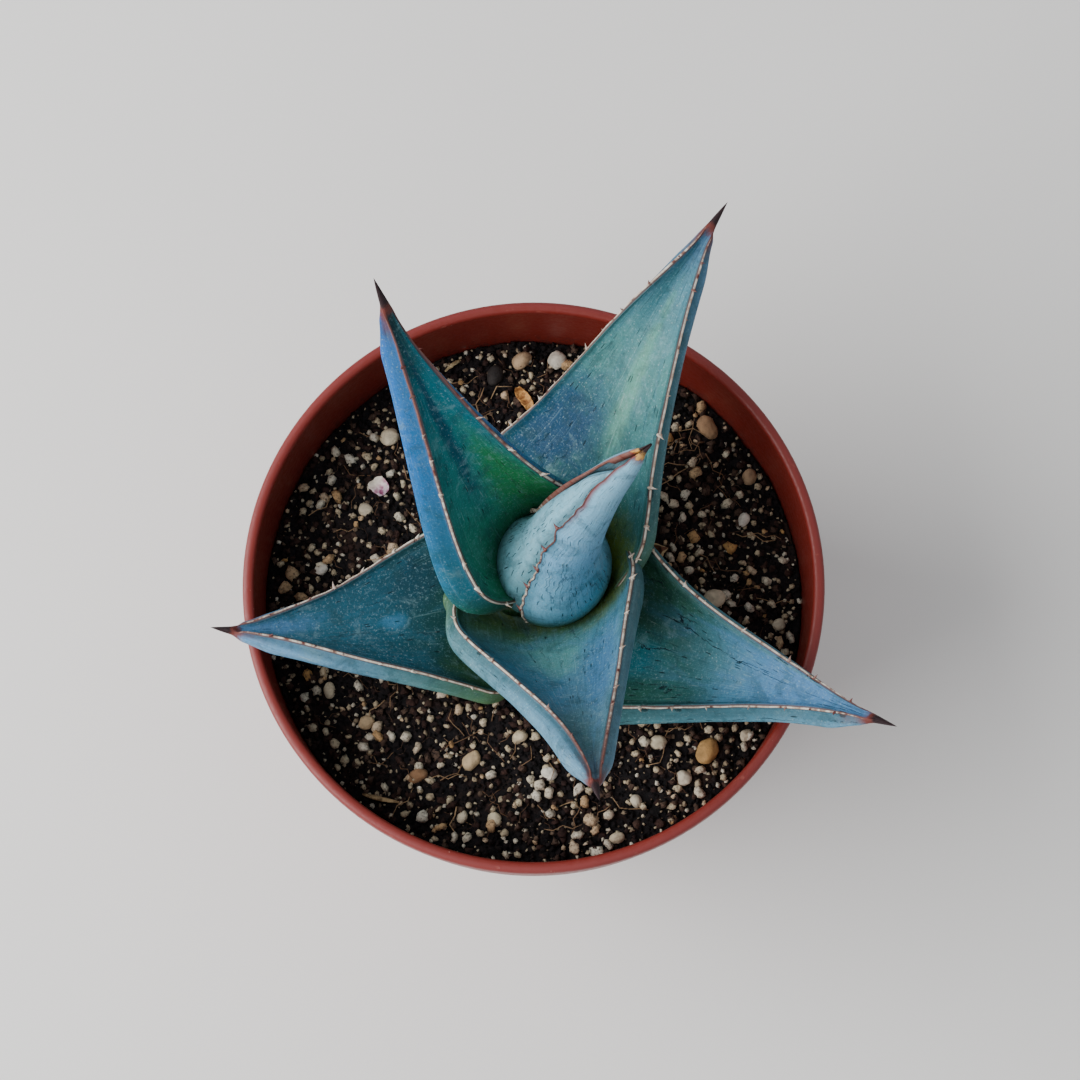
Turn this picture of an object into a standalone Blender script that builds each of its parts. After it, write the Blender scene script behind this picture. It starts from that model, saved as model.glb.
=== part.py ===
# Young blue agave in a round plastic nursery pot, modelled in metres, +Z up.
# The origin is the middle of the pot's flat underside.
# All sizes below are in millimetres and degrees; mm turns them into metres.
import math
import random

import bmesh
import bpy
import numpy as np
from mathutils import Vector

for old in list(bpy.data.objects):
    bpy.data.objects.remove(old, do_unlink=True)

mm = 0.001
gap = 0.3                  # clearance between two pieces that touch
cutGap = 0.34              # how far a cutter stands off its piece

# pot: thin injection-moulded shell with a straight collar under the lip
potHeight = 95.0
rimRadius = 60.0           # outside of the lip
lipWidth = 2.4
lipHeight = 4.0
lipRound = 0.8
lipOverhang = 0.9          # how far the lip stands out from the collar
collarHeight = 22.5        # lip top to the step
collarLean = 0.3           # how much the collar narrows on its way down
collarWall = 1.5
collarStep = 4.0           # how far the wall steps in under the collar
stepHeight = 1.3
baseRadius = 43.0
wallThickness = 1.3
floorThickness = 1.6
potSides = 48
drainCount = 8
drainWidth = 6.0
drainLength = 8.0          # along the radius, ending outside the wall
drainHeight = 3.5
drainTurn = 22.5

# soil
soilDrop = 20.3            # lip top down to the soil at the wall
soilMound = 4.4            # rise from the wall to the plant
soilRipple = 0.45
soilSides = 44

# plant centre; heights of the plant are counted from soilTop
soilTop = potHeight - soilDrop
plantX = 4.0
plantY = 2.5
crownHeight = soilTop + 14.3   # top of the short stem
crownTopRadius = 7.5
crownRadius = 15.0         # widest part of the stem, just under the leaves
crownLow = soilTop + 1.3
rootRadius = 5.0
rootLow = soilTop - 40.7
stemSides = 28

# leaf form shared by all the open leaves. A leaf's height is its start above soilTop; backLeft and
# backRight are how square its back is beside each margin, and keel turns the back's middle sideways
leafInnerPoints = 7
leafOuterPoints = 8
edgeThickness = 0.7        # horny margin
spineRadius = 0.9
spineStart = 0.93          # share of the leaf length where the spine begins
toothPitch = 8.0
toothHeight = 1.2
toothHalf = 0.8
toothFirst = 0.30
toothLast = 0.82

leafLeft = dict(           # upright leaf to the upper left
    azimuth=139.3, sway=-23.9, elevBase=83.4, elevTip=51.6, arch=1.6,
    length=94.0, width=39.7, foot=0.39, footEnd=0.22, taper=1.33,
    foldBase=81.7, foldMid=61.1, foldTip=25.0,
    roll=20.0, rollMid=-45.8, rollTip=17.8,
    reach=9.0, height=13.3, thickBase=8.1, thickTip=3.8,
    backLeft=7.8, backRight=1.0, keel=-32.0, sunk=5.0)
leafBack = dict(           # tall leaf to the upper right
    azimuth=67.5, sway=-14.7, elevBase=58.0, elevTip=20.0, arch=1.6,
    length=81.9, width=54.2, foot=0.61, footEnd=0.22, taper=1.20,
    foldBase=60.0, foldMid=22.9, foldTip=71.5,
    roll=-11.5, rollMid=-40.7, rollTip=59.1,
    reach=9.0, height=10.3, thickBase=5.0, thickTip=3.3,
    backLeft=1.0, backRight=3.7, keel=21.5, sunk=5.0)
leafWest = dict(           # low leaf over the left rim
    azimuth=199.3, sway=-28.2, elevBase=26.0, elevTip=11.5, arch=1.6,
    length=65.5, width=46.5, foot=0.66, footEnd=0.22, taper=1.10,
    foldBase=60.0, foldMid=44.4, foldTip=100.0,
    roll=-37.6, rollMid=11.8, rollTip=72.0,
    reach=9.0, height=7.3, thickBase=7.9, thickTip=2.1,
    backLeft=6.1, backRight=2.5, keel=-17.7, sunk=5.0)
leafEast = dict(           # low leaf over the right rim, the oldest
    azimuth=330.3, sway=4.2, elevBase=28.0, elevTip=30.0, arch=1.6,
    length=76.2, width=47.7, foot=0.59, footEnd=0.22, taper=1.37,
    foldBase=60.9, foldMid=52.5, foldTip=35.4,
    roll=1.8, rollMid=46.2, rollTip=-42.3,
    reach=9.0, height=6.3, thickBase=6.7, thickTip=3.8,
    backLeft=1.0, backRight=8.0, keel=32.0, sunk=5.0)
leafFront = dict(          # short broad leaf towards the front
    azimuth=276.6, sway=6.6, elevBase=60.1, elevTip=50.0, arch=1.6,
    length=76.7, width=49.0, foot=0.83, footEnd=0.22, taper=1.20,
    foldBase=71.3, foldMid=57.3, foldTip=89.8,
    roll=10.5, rollMid=23.5, rollTip=-61.6,
    reach=9.0, height=11.3, thickBase=6.0, thickTip=3.7,
    backLeft=8.0, backRight=2.2, keel=31.8, sunk=5.0)
dryScale = dict(           # shrivelled papery leaf base low on the right
    azimuth=12.0, sway=0.0, elevBase=40.0, elevTip=18.0, arch=1.0,
    length=19.0, width=11.0, foot=0.9, footEnd=0.2, taper=0.55,
    foldBase=40.0, foldMid=35.0, foldTip=20.0, roll=-8.0, rollMid=0.0, rollTip=0.0,
    reach=8.0, height=7.3, thickBase=1.6, thickTip=0.9,
    backLeft=4.0, backRight=4.0, keel=0.0, sunk=3.0)

# bud: an outer leaf rolled round the next one
budX = 3.8
budY = 2.3
budLow = crownHeight + gap
budHeight = 63.6
budLeanX = 17.9
budLeanY = 11.6
budCurveX = 2.2
budCurveY = 1.6
budRadius = [(0.0, 11.2), (0.165, 11.9), (0.335, 8.3), (0.48, 7.0), (0.61, 5.8),
             (0.765, 4.1), (0.88, 2.7), (0.93, 1.7), (0.955, 0.95), (1.0, 0.25)]
budMarginLeft = [(0.0, 240.0), (0.5, 226.0), (1.0, 212.0)]
budMarginBack = [(0.0, 112.0), (0.5, 132.0), (1.0, 168.0)]
budInnerEnd = 0.86
budEdge = 0.7              # outer bud leaf at its margins
budBody = 2.2              # outer bud leaf across its back
budSides = 24


def smooth(x, low, high):
    t = np.clip((x - low) / (high - low), 0.0, 1.0)
    return t * t * (3.0 - 2.0 * t)


def stations(t, table):
    # smooth curve through a few (place, size) pairs
    xs = np.array([row[0] for row in table])
    ys = np.array([row[1] for row in table])
    slope = np.gradient(ys, xs)
    i = int(np.clip(np.searchsorted(xs, t) - 1, 0, len(xs) - 2))
    span = xs[i + 1] - xs[i]
    u = min(max((t - xs[i]) / span, 0.0), 1.0)
    a = 2 * u ** 3 - 3 * u ** 2 + 1
    b = u ** 3 - 2 * u ** 2 + u
    c = 3 * u ** 2 - 2 * u ** 3
    d = u ** 3 - u ** 2
    return a * ys[i] + b * span * slope[i] + c * ys[i + 1] + d * span * slope[i + 1]


def makeMaterial(name, color, roughness):
    material = bpy.data.materials.new(name)
    material.use_nodes = True
    shader = material.node_tree.nodes["Principled BSDF"]
    shader.inputs["Base Color"].default_value = (*color, 1.0)
    shader.inputs["Roughness"].default_value = roughness
    shader.inputs["Metallic"].default_value = 0.0
    return material


def meshObject(name, points, faces, color=None, roughness=0.6, flat=35.0):
    mesh = bpy.data.meshes.new(name)
    mesh.from_pydata([tuple(p) for p in points], [], faces)
    bm = bmesh.new()
    bm.from_mesh(mesh)
    bmesh.ops.recalc_face_normals(bm, faces=bm.faces)
    bmesh.ops.triangulate(bm, faces=bm.faces)
    bm.to_mesh(mesh)
    bm.free()
    mesh.shade_smooth()
    mesh.set_sharp_from_angle(angle=math.radians(flat))
    thing = bpy.data.objects.new(name, mesh)
    bpy.context.collection.objects.link(thing)
    if color:
        mesh.materials.append(makeMaterial(name, color, roughness))
    return thing


def skinRings(rings, closeStart=True, closeEnd=True):
    # rings of equal length, joined side to side; a ring of one point is a tip
    points = []
    index = []
    for ring in rings:
        index.append(list(range(len(points), len(points) + len(ring))))
        points.extend(ring)
    faces = []
    for low, high in zip(index[:-1], index[1:]):
        n = max(len(low), len(high))
        for k in range(n):
            j = (k + 1) % n
            if len(low) == 1:
                faces.append((low[0], high[j], high[k]))
            elif len(high) == 1:
                faces.append((low[k], low[j], high[0]))
            else:
                faces.append((low[k], low[j], high[j], high[k]))
    if closeStart and len(index[0]) > 2:
        faces.append(tuple(reversed(index[0])))
    if closeEnd and len(index[-1]) > 2:
        faces.append(tuple(index[-1]))
    return points, faces


def lathe(profile, sides, centreX=0.0, centreY=0.0, lift=None):
    # turned body; a radius of zero is a point on the axis
    rings = []
    for radius, z in profile:
        if radius < 1e-6:
            top = z + (lift(centreX, centreY, 0.0) if lift else 0.0)
            rings.append([Vector((centreX, centreY, top)) * mm])
            continue
        ring = []
        for k in range(sides):
            turn = 2 * math.pi * k / sides
            x = centreX + radius * math.cos(turn)
            y = centreY + radius * math.sin(turn)
            ring.append(Vector((x, y, z + (lift(x, y, radius) if lift else 0.0))) * mm)
        rings.append(ring)
    return skinRings(rings)


def grow(thing, amount, name):
    # copy whose faces all stand off by the amount, used to cut a neighbour
    mesh = thing.data.copy()
    copy = bpy.data.objects.new(name, mesh)
    bpy.context.collection.objects.link(copy)
    copy.matrix_world = thing.matrix_world
    bm = bmesh.new()
    bm.from_mesh(mesh)
    bm.normal_update()
    moves = []
    for vert in bm.verts:
        factor = min(vert.calc_shell_factor(), 2.2)
        moves.append(vert.normal * amount * mm * factor)
    for vert, move in zip(bm.verts, moves):
        vert.co += move
    bm.to_mesh(mesh)
    bm.free()
    copy.hide_render = True
    copy.display_type = "WIRE"
    return copy


def cut(thing, cutters):
    # take the cutters out of a piece and keep its main body
    for cutter in cutters:
        boolean = thing.modifiers.new("cut " + cutter.name, "BOOLEAN")
        boolean.operation = "DIFFERENCE"
        boolean.solver = "EXACT"
        boolean.object = cutter
        applyModifiers(thing)
    thing.data.name = thing.name


def applyModifiers(thing):
    bpy.context.view_layer.update()
    graph = bpy.context.evaluated_depsgraph_get()
    mesh = bpy.data.meshes.new_from_object(thing.evaluated_get(graph))
    thing.modifiers.clear()
    thing.data = mesh
    keepMainBody(thing)


def keepMainBody(thing):
    bm = bmesh.new()
    bm.from_mesh(thing.data)
    bmesh.ops.remove_doubles(bm, verts=bm.verts, dist=0.00002)
    bmesh.ops.dissolve_degenerate(bm, edges=bm.edges, dist=0.00001)
    bmesh.ops.triangulate(bm, faces=bm.faces)
    left = set(bm.verts)
    groups = []
    while left:
        seed = left.pop()
        group = {seed}
        queue = [seed]
        while queue:
            vert = queue.pop()
            for edge in vert.link_edges:
                other = edge.other_vert(vert)
                if other in left:
                    left.remove(other)
                    group.add(other)
                    queue.append(other)
        groups.append(group)
    groups.sort(key=len, reverse=True)
    for group in groups[1:]:
        bmesh.ops.delete(bm, geom=list(group), context="VERTS")
    bm.to_mesh(thing.data)
    bm.free()


# ---- leaves ----

def leafAxis(leaf, steps=160):
    tau = np.linspace(0.0, 1.0, steps + 1)
    turn = np.radians(leaf["azimuth"] + leaf["sway"] * tau * tau)
    rise = leaf["elevTip"] + (leaf["elevBase"] - leaf["elevTip"]) * (1 - tau) ** leaf["arch"]
    rise = np.radians(rise)
    along = np.c_[np.cos(rise) * np.cos(turn), np.cos(rise) * np.sin(turn), np.sin(rise)]
    step = leaf["length"] / steps
    place = np.vstack([[0, 0, 0], np.cumsum((along[1:] + along[:-1]) / 2 * step, axis=0)])
    start = math.radians(leaf["azimuth"])
    place += [plantX + leaf["reach"] * math.cos(start),
              plantY + leaf["reach"] * math.sin(start), soilTop + leaf["height"]]
    up = np.c_[-np.sin(rise) * np.cos(turn), -np.sin(rise) * np.sin(turn), np.cos(rise)]
    side = np.cross(along, up)
    roll = leaf["roll"] + leaf["rollTip"] * tau + leaf["rollMid"] * 4 * tau * (1 - tau)
    roll = np.radians(roll)[:, None]
    upRolled = np.cos(roll) * up + np.sin(roll) * side
    sideRolled = np.cos(roll) * side - np.sin(roll) * up
    return tau, place, along, sideRolled, upRolled


def leafHalfWidth(leaf, tau):
    x = min(max(tau / spineStart, 0.0), 1.0)
    foot = leaf["foot"] + (1 - leaf["foot"]) * smooth(tau, 0.0, leaf["footEnd"])
    body = leaf["width"] / 2 * (1 - x) ** leaf["taper"] * foot
    tip = spineRadius * min(max((1 - tau) / (1 - spineStart), 0.0), 1.0) ** 0.8
    return math.hypot(body, tip if tau > spineStart else spineRadius)


def leafFold(leaf, tau):
    fold = leaf["foldMid"] + (leaf["foldBase"] - leaf["foldMid"]) * (1 - smooth(tau, 0.0, 0.3))
    fold += (leaf["foldTip"] - leaf["foldMid"]) * smooth(tau, 0.5, 0.95)
    return math.radians(float(fold))


def leafRing(leaf, axis, tau, tooth):
    grid, place, along, side, up = axis
    at = [np.interp(max(tau, 0.0), grid, place[:, i]) for i in range(3)]
    centre = Vector(at)
    forward = Vector([np.interp(tau, grid, along[:, i]) for i in range(3)]).normalized()
    if tau < 0:
        centre = centre + forward * tau * leaf["length"]
    right = Vector([np.interp(tau, grid, side[:, i]) for i in range(3)]).normalized()
    over = Vector([np.interp(tau, grid, up[:, i]) for i in range(3)]).normalized()
    half = leafHalfWidth(leaf, tau)
    fold = leafFold(leaf, tau)
    radius = half / math.sin(fold)
    close = min(1.0, half / spineRadius) if tau > spineStart else 1.0
    thick = leaf["thickTip"] + (leaf["thickBase"] - leaf["thickTip"]) * (1 - max(tau, 0.0))
    if tau > spineStart:
        thick = min(thick, 1.7 * half)
    else:
        near = smooth(tau, 0.8, spineStart)
        thick = thick * (1 - near) + 1.7 * spineRadius * near
    edge = edgeThickness * close
    ring = []
    for k in range(leafInnerPoints):
        u = 1 - 2 * k / (leafInnerPoints - 1)
        turn = fold * u
        ring.append((radius * math.sin(turn), radius * (1 - math.cos(turn)), u, 0))
    for k in range(leafOuterPoints):
        u = -math.cos(math.pi * k / (leafOuterPoints - 1))
        turn = fold * u + math.radians(leaf["keel"]) * (1 - u * u) * min(1.0, fold)
        square = leaf["backRight"] if u > 0 else leaf["backLeft"]
        square = 2.0 + (square - 2.0) * float(smooth(tau, 0.0, 0.25))
        off = edge + (thick - edge) * max(1 - abs(u) ** square, 0.0) ** 0.6
        away = radius + off
        ring.append((away * math.sin(turn), radius - away * math.cos(turn), u, 1))
    points = []
    for x, y, u, outer in ring:
        if tooth and abs(u) > 0.999:
            x += math.copysign(math.cos(fold), u) * toothHeight
            y += math.sin(fold) * toothHeight + outer * edge * 0.35
        points.append((centre + right * x + over * y) * mm)
    return points


def makeLeaf(name, leaf, color, roughness, teeth=True):
    axis = leafAxis(leaf)
    length = leaf["length"]
    plain = [-leaf["sunk"] / length, 0.0, 0.06, 0.12, 0.2, 0.3, 0.4, 0.5, 0.6, 0.7, 0.78,
             0.85, 0.9, spineStart, 0.965, 0.99]
    taus = [(t, False) for t in plain]
    tau = toothFirst
    while teeth and tau < toothLast:
        taus = [row for row in taus if abs(row[0] - tau) * length > 2.2 * toothHalf]
        taus.append((tau - toothHalf / length, False))
        taus.append((tau, True))
        taus.append((tau + toothHalf / length, False))
        tau += toothPitch / length
    taus.sort()
    rings = [leafRing(leaf, axis, t, tooth) for t, tooth in taus]
    rings.append([Vector(axis[1][-1]) * mm])
    points, faces = skinRings(rings)
    return meshObject(name, points, faces, color, roughness, 50.0)


# ---- bud ----

def budFrame(t):
    centre = Vector((budX + budLeanX * t ** budCurveX, budY + budLeanY * t ** budCurveY,
                     budLow + budHeight * t))
    along = Vector((budLeanX * budCurveX * t ** (budCurveX - 1),
                    budLeanY * budCurveY * t ** (budCurveY - 1) * smooth(t, 0.0, 0.2),
                    budHeight)).normalized()
    east = (Vector((1, 0, 0)) - along * along.x).normalized()
    north = along.cross(east)
    return centre, east, north


def budPoint(t, turn, radius):
    centre, east, north = budFrame(t)
    turn = math.radians(turn)
    return (centre + (east * math.cos(turn) + north * math.sin(turn)) * radius) * mm


def budMargins(t):
    return stations(t, budMarginLeft), stations(t, budMarginBack)


def budThickness(t, turn):
    # distance round the bud from the nearer margin sets the leaf's thickness
    left, back = budMargins(t)
    covered = (turn - left) % 360.0
    span = (back - left) % 360.0
    inside = min(covered, span - covered)
    scale = min(1.0, stations(t, budRadius) / 6.0)
    return (budEdge + (budBody - budEdge) * smooth(inside, 0.0, 60.0)) * scale


def budOuterRing(t):
    left, back = budMargins(t)
    span = (back - left) % 360.0
    full = stations(t, budRadius)
    outer = []
    inner = []
    for k in range(budSides):
        turn = left + span * k / (budSides - 1)
        depth = min(budThickness(t, turn), full * 0.45)
        if t > budInnerEnd:
            depth = full * (0.45 + 0.45 * smooth(t, budInnerEnd, budInnerEnd + 0.1))
        outer.append(budPoint(t, turn, full))
        inner.append(budPoint(t, turn, full - depth))
    return outer + inner[::-1]


def budInnerRing(t):
    left, back = budMargins(t)
    span = (back - left) % 360.0
    full = stations(t, budRadius)
    ring = []
    shut = (1 - smooth(t, budInnerEnd - 0.12, budInnerEnd)) ** 0.5
    for k in range(budSides):
        turn = left + 360.0 * k / budSides
        covered = (turn - left) % 360.0
        if covered <= span + 0.01:
            radius = full - min(budThickness(t, turn), full * 0.45) - gap
        else:
            past = min(covered - span, 360.0 - covered)
            dip = budEdge * min(1.0, full / 6.0) + gap
            radius = full - dip + (dip - 0.15) * smooth(past, 2.0, 22.0)
        ring.append(budPoint(t, turn, max(radius * shut, 0.25)))
    return ring


def makeBud():
    outerStops = [0.0, 0.08, 0.17, 0.26, 0.35, 0.43, 0.5, 0.57, 0.64, 0.72, 0.8, 0.86, 0.9, 0.93, 0.955, 0.98, 1.0]
    points, faces = skinRings([budOuterRing(t) for t in outerStops])
    outer = meshObject("bud_outer_leaf", points, faces, (0.20, 0.36, 0.43), 0.45, 50.0)
    innerStops = [0.0, 0.08, 0.17, 0.26, 0.35, 0.43, 0.5, 0.57, 0.64, 0.71, 0.78, 0.82, budInnerEnd - 0.01]
    points, faces = skinRings([budInnerRing(t) for t in innerStops])
    inner = meshObject("bud_inner_leaf", points, faces, (0.22, 0.40, 0.45), 0.45, 50.0)
    return outer, inner


# ---- pot and soil ----

def potInside():
    # inner wall, from the lip down to the floor
    collarLow = potHeight - collarHeight
    collarInner = rimRadius - lipOverhang - collarLean - collarWall
    return [(rimRadius - lipWidth, potHeight - lipRound),
            (collarInner, collarLow),
            (collarInner - collarStep, collarLow - stepHeight),
            (baseRadius - wallThickness, floorThickness)]


def makePot():
    collarLow = potHeight - collarHeight
    collarOuter = rimRadius - lipOverhang - collarLean
    outside = [(0.0, 0.0), (baseRadius - 0.8, 0.0), (baseRadius, 0.8),
               (collarOuter - collarWall - collarStep + wallThickness, collarLow - stepHeight),
               (collarOuter, collarLow),
               (rimRadius - lipOverhang, potHeight - lipHeight - 0.6),
               (rimRadius, potHeight - lipHeight), (rimRadius, potHeight - lipRound),
               (rimRadius - lipRound * 0.3, potHeight - lipRound * 0.3),
               (rimRadius - lipRound, potHeight),
               (rimRadius - lipWidth + lipRound, potHeight),
               (rimRadius - lipWidth + lipRound * 0.3, potHeight - lipRound * 0.3)]
    profile = outside + potInside() + [(0.0, floorThickness)]
    points, faces = lathe(profile, potSides)
    pot = meshObject("pot", points, faces, (0.30, 0.045, 0.03), 0.42, 40.0)
    for k in range(drainCount):
        turn = math.radians(drainTurn + 360.0 * k / drainCount)
        middle = baseRadius + 2.0 - drainLength / 2
        bpy.ops.mesh.primitive_cube_add(size=1.0, location=(middle * math.cos(turn) * mm,
                                                           middle * math.sin(turn) * mm, 0.0),
                                        rotation=(0.0, 0.0, turn))
        slot = bpy.context.object
        slot.name = "drain_cutter_%d" % (k + 1)
        slot.scale = (drainLength * mm, drainWidth * mm, 2 * drainHeight * mm)
        bpy.ops.object.transform_apply(location=False, rotation=False, scale=True)
        slot.hide_render = True
        slot.display_type = "WIRE"
        boolean = pot.modifiers.new(slot.name, "BOOLEAN")
        boolean.operation = "DIFFERENCE"
        boolean.solver = "EXACT"
        boolean.object = slot
    return pot


def soilLevel(x, y):
    reach = math.hypot(x, y) / rimRadius
    mound = soilMound * (1 - smooth(reach, 0.25, 0.95))
    ripple = math.sin(x * 0.21 + 1.0) * math.cos(y * 0.17) + 0.6 * math.sin(y * 0.37 + x * 0.11)
    return potHeight - soilDrop + mound + soilRipple * ripple


def makeSoil():
    inside = potInside()
    collarInner, collarLow = inside[1]
    top = potHeight - soilDrop
    lean = (inside[0][0] - collarInner) / (inside[0][1] - collarLow)
    topRadius = collarInner + lean * (top - collarLow) - cutGap
    profile = [(0.0, floorThickness + cutGap),
               (baseRadius - wallThickness - cutGap, floorThickness + cutGap),
               (inside[2][0] - cutGap, inside[2][1]),
               (collarInner - cutGap, collarLow + 0.15)]
    body = []
    for radius, z in profile:
        if radius < 1e-6:
            body.append([Vector((0, 0, z)) * mm])
        else:
            body.append([Vector((radius * math.cos(2 * math.pi * k / soilSides),
                                 radius * math.sin(2 * math.pi * k / soilSides), z)) * mm
                         for k in range(soilSides)])
    for radius in (topRadius, 52.0, 46.0, 39.0, 32.0, 25.0, 18.0, 9.0):
        ring = []
        for k in range(soilSides):
            turn = 2 * math.pi * k / soilSides
            x = radius * math.cos(turn)
            y = radius * math.sin(turn)
            ring.append(Vector((x, y, soilLevel(x, y))) * mm)
        body.append(ring)
    body.append([Vector((0.0, 0.0, soilLevel(0.0, 0.0))) * mm])
    points, faces = skinRings(body)
    return meshObject("soil", points, faces, (0.012, 0.009, 0.008), 0.95, 40.0)


def makeStem():
    profile = [(0.0, rootLow), (1.6, rootLow + 1.0), (rootRadius * 0.7, rootLow + 14.0),
               (rootRadius, rootLow + 26.0), (crownRadius * 0.75, crownLow - 6.0),
               (crownRadius, crownLow), (crownRadius * 0.93, crownLow + 4.0),
               (crownTopRadius + 2.6, crownHeight - 4.0), (crownTopRadius, crownHeight),
               (0.0, crownHeight)]
    points, faces = lathe(profile, stemSides, plantX, plantY + 1.5)
    return meshObject("stem", points, faces, (0.42, 0.40, 0.20), 0.7, 40.0)


# ---- things lying on the soil ----
# x, y, length, width, height, turn, tint
grains = [
    (36.5, -32.7, 5.8, 4.2, 3.6, 70, (0.50, 0.30, 0.12)),
    (26.0, -31.0, 3.6, 3.0, 2.8, 20, (0.70, 0.58, 0.40)),
    (31.5, -38.7, 3.3, 3.1, 2.8, 0, (0.66, 0.58, 0.45)),
    (44.8, -29.4, 2.9, 2.3, 2.2, 40, (0.62, 0.52, 0.38)),
    (21.4, -43.3, 2.9, 2.4, 2.2, 110, (0.60, 0.52, 0.40)),
    (17.4, -51.0, 3.1, 2.4, 2.2, 10, (0.58, 0.47, 0.33)),
    (3.2, -37.7, 3.0, 2.7, 2.5, 0, (0.78, 0.72, 0.62)),
    (-2.9, -30.2, 3.6, 2.8, 2.7, 35, (0.62, 0.50, 0.34)),
    (-13.0, -34.9, 4.4, 3.7, 3.3, 80, (0.57, 0.42, 0.25)),
    (-24.3, -38.1, 4.0, 3.1, 2.8, 25, (0.30, 0.16, 0.08)),
    (-8.3, -47.1, 3.2, 2.6, 2.4, 130, (0.66, 0.55, 0.38)),
    (-15.0, -46.7, 3.0, 2.4, 2.3, 60, (0.63, 0.54, 0.40)),
    (-35.4, -26.8, 4.1, 3.2, 3.0, 15, (0.52, 0.37, 0.22)),
    (-43.2, -19.9, 3.2, 2.6, 2.5, 95, (0.67, 0.57, 0.42)),
    (-45.5, 6.3, 3.0, 2.4, 2.4, 50, (0.80, 0.74, 0.64)),
    (-36.3, 19.0, 3.4, 2.8, 2.6, 150, (0.66, 0.56, 0.42)),
    (-31.3, 35.1, 4.6, 3.7, 3.3, 30, (0.74, 0.63, 0.46)),
    (-2.6, 52.6, 4.6, 3.7, 3.3, 10, (0.56, 0.38, 0.22)),
    (4.9, 53.0, 4.2, 3.4, 3.2, 60, (0.76, 0.69, 0.58)),
    (-8.4, 49.4, 4.1, 3.6, 3.0, 75, (0.05, 0.04, 0.04)),
    (38.5, -0.5, 4.6, 3.8, 3.4, 20, (0.72, 0.62, 0.46)),
    (45.0, 17.0, 3.4, 2.8, 2.7, 85, (0.78, 0.72, 0.64)),
    (37.6, 37.8, 5.2, 3.6, 2.8, 120, (0.40, 0.24, 0.13)),
    (46.6, 26.6, 3.6, 2.9, 2.6, 65, (0.45, 0.30, 0.18)),
    (52.4, -5.7, 3.0, 2.5, 2.4, 0, (0.68, 0.60, 0.46)),
]
grainSink = 0.18           # share of a grain's height that is in the soil, below its middle


def makeGrain(number, x, y, length, width, height, turn, tint):
    chance = random.Random(number * 7 + 1)
    bm = bmesh.new()
    bmesh.ops.create_icosphere(bm, subdivisions=2 if length > 3.3 else 1, radius=0.5)
    waves = [(Vector([chance.uniform(-1, 1) for i in range(3)]) * 5.0, chance.uniform(0, 6)) for i in range(4)]
    for vert in bm.verts:
        swell = sum(math.sin(vert.co.dot(wave) + phase) for wave, phase in waves)
        vert.co *= 1.0 + 0.07 * swell
        vert.co.x *= length * mm
        vert.co.y *= width * mm
        vert.co.z *= height * mm
    name = "grain_%02d" % number
    mesh = bpy.data.meshes.new(name)
    bm.to_mesh(mesh)
    bm.free()
    mesh.shade_smooth()
    mesh.materials.append(makeMaterial(name, tint, 0.85))
    thing = bpy.data.objects.new(name, mesh)
    bpy.context.collection.objects.link(thing)
    thing.location = (x * mm, y * mm, (soilLevel(x, y) + height * (0.5 - grainSink) - 0.4) * mm)
    thing.rotation_euler = (0.0, 0.0, math.radians(turn))
    bpy.context.view_layer.update()
    return thing


def makeStrip(name, path, halfWidth, halfThick, sides, color, roughness, curl=0.0):
    # flat strand with an oval section along a path of (x, y, rise above the soil)
    rings = []
    count = len(path)
    for i, (x, y, rise) in enumerate(path):
        before = path[max(i - 1, 0)]
        after = path[min(i + 1, count - 1)]
        heading = Vector((after[0] - before[0], after[1] - before[1], after[2] - before[2])).normalized()
        across = heading.cross(Vector((0, 0, 1))).normalized()
        above = across.cross(heading)
        end = math.sin(math.pi * (0.12 + 0.76 * i / (count - 1))) ** 0.6
        middle = Vector((x, y, soilLevel(x, y) + rise))
        ring = []
        for k in range(sides):
            turn = 2 * math.pi * k / sides
            bend = curl * math.cos(turn) ** 2 * halfWidth * end
            ring.append((middle + across * math.cos(turn) * halfWidth * end
                         + above * (math.sin(turn) * halfThick * end + bend)) * mm)
        rings.append(ring)
    points, faces = skinRings(rings)
    return meshObject(name, points, faces, color, roughness, 60.0)


pot = makePot()
soil = makeSoil()
stem = makeStem()
budOuter, budInner = makeBud()
left = makeLeaf("leaf_left", leafLeft, (0.06, 0.24, 0.27), 0.45)
front = makeLeaf("leaf_front", leafFront, (0.09, 0.25, 0.36), 0.45)
back = makeLeaf("leaf_back", leafBack, (0.05, 0.20, 0.25), 0.45)
west = makeLeaf("leaf_west", leafWest, (0.05, 0.18, 0.26), 0.45)
east = makeLeaf("leaf_east", leafEast, (0.09, 0.26, 0.36), 0.45)
scale = makeLeaf("dry_leaf_base", dryScale, (0.36, 0.22, 0.10), 0.8, False)

# each older piece is cut back by every younger one, from the bud outwards
order = [stem, budOuter, budInner, left, front, back, west, east, scale]
stand = [grow(thing, cutGap, thing.name + "_cutter") for thing in order]
for number, thing in enumerate(order):
    if number > 2:
        cut(thing, stand[:number])

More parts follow.
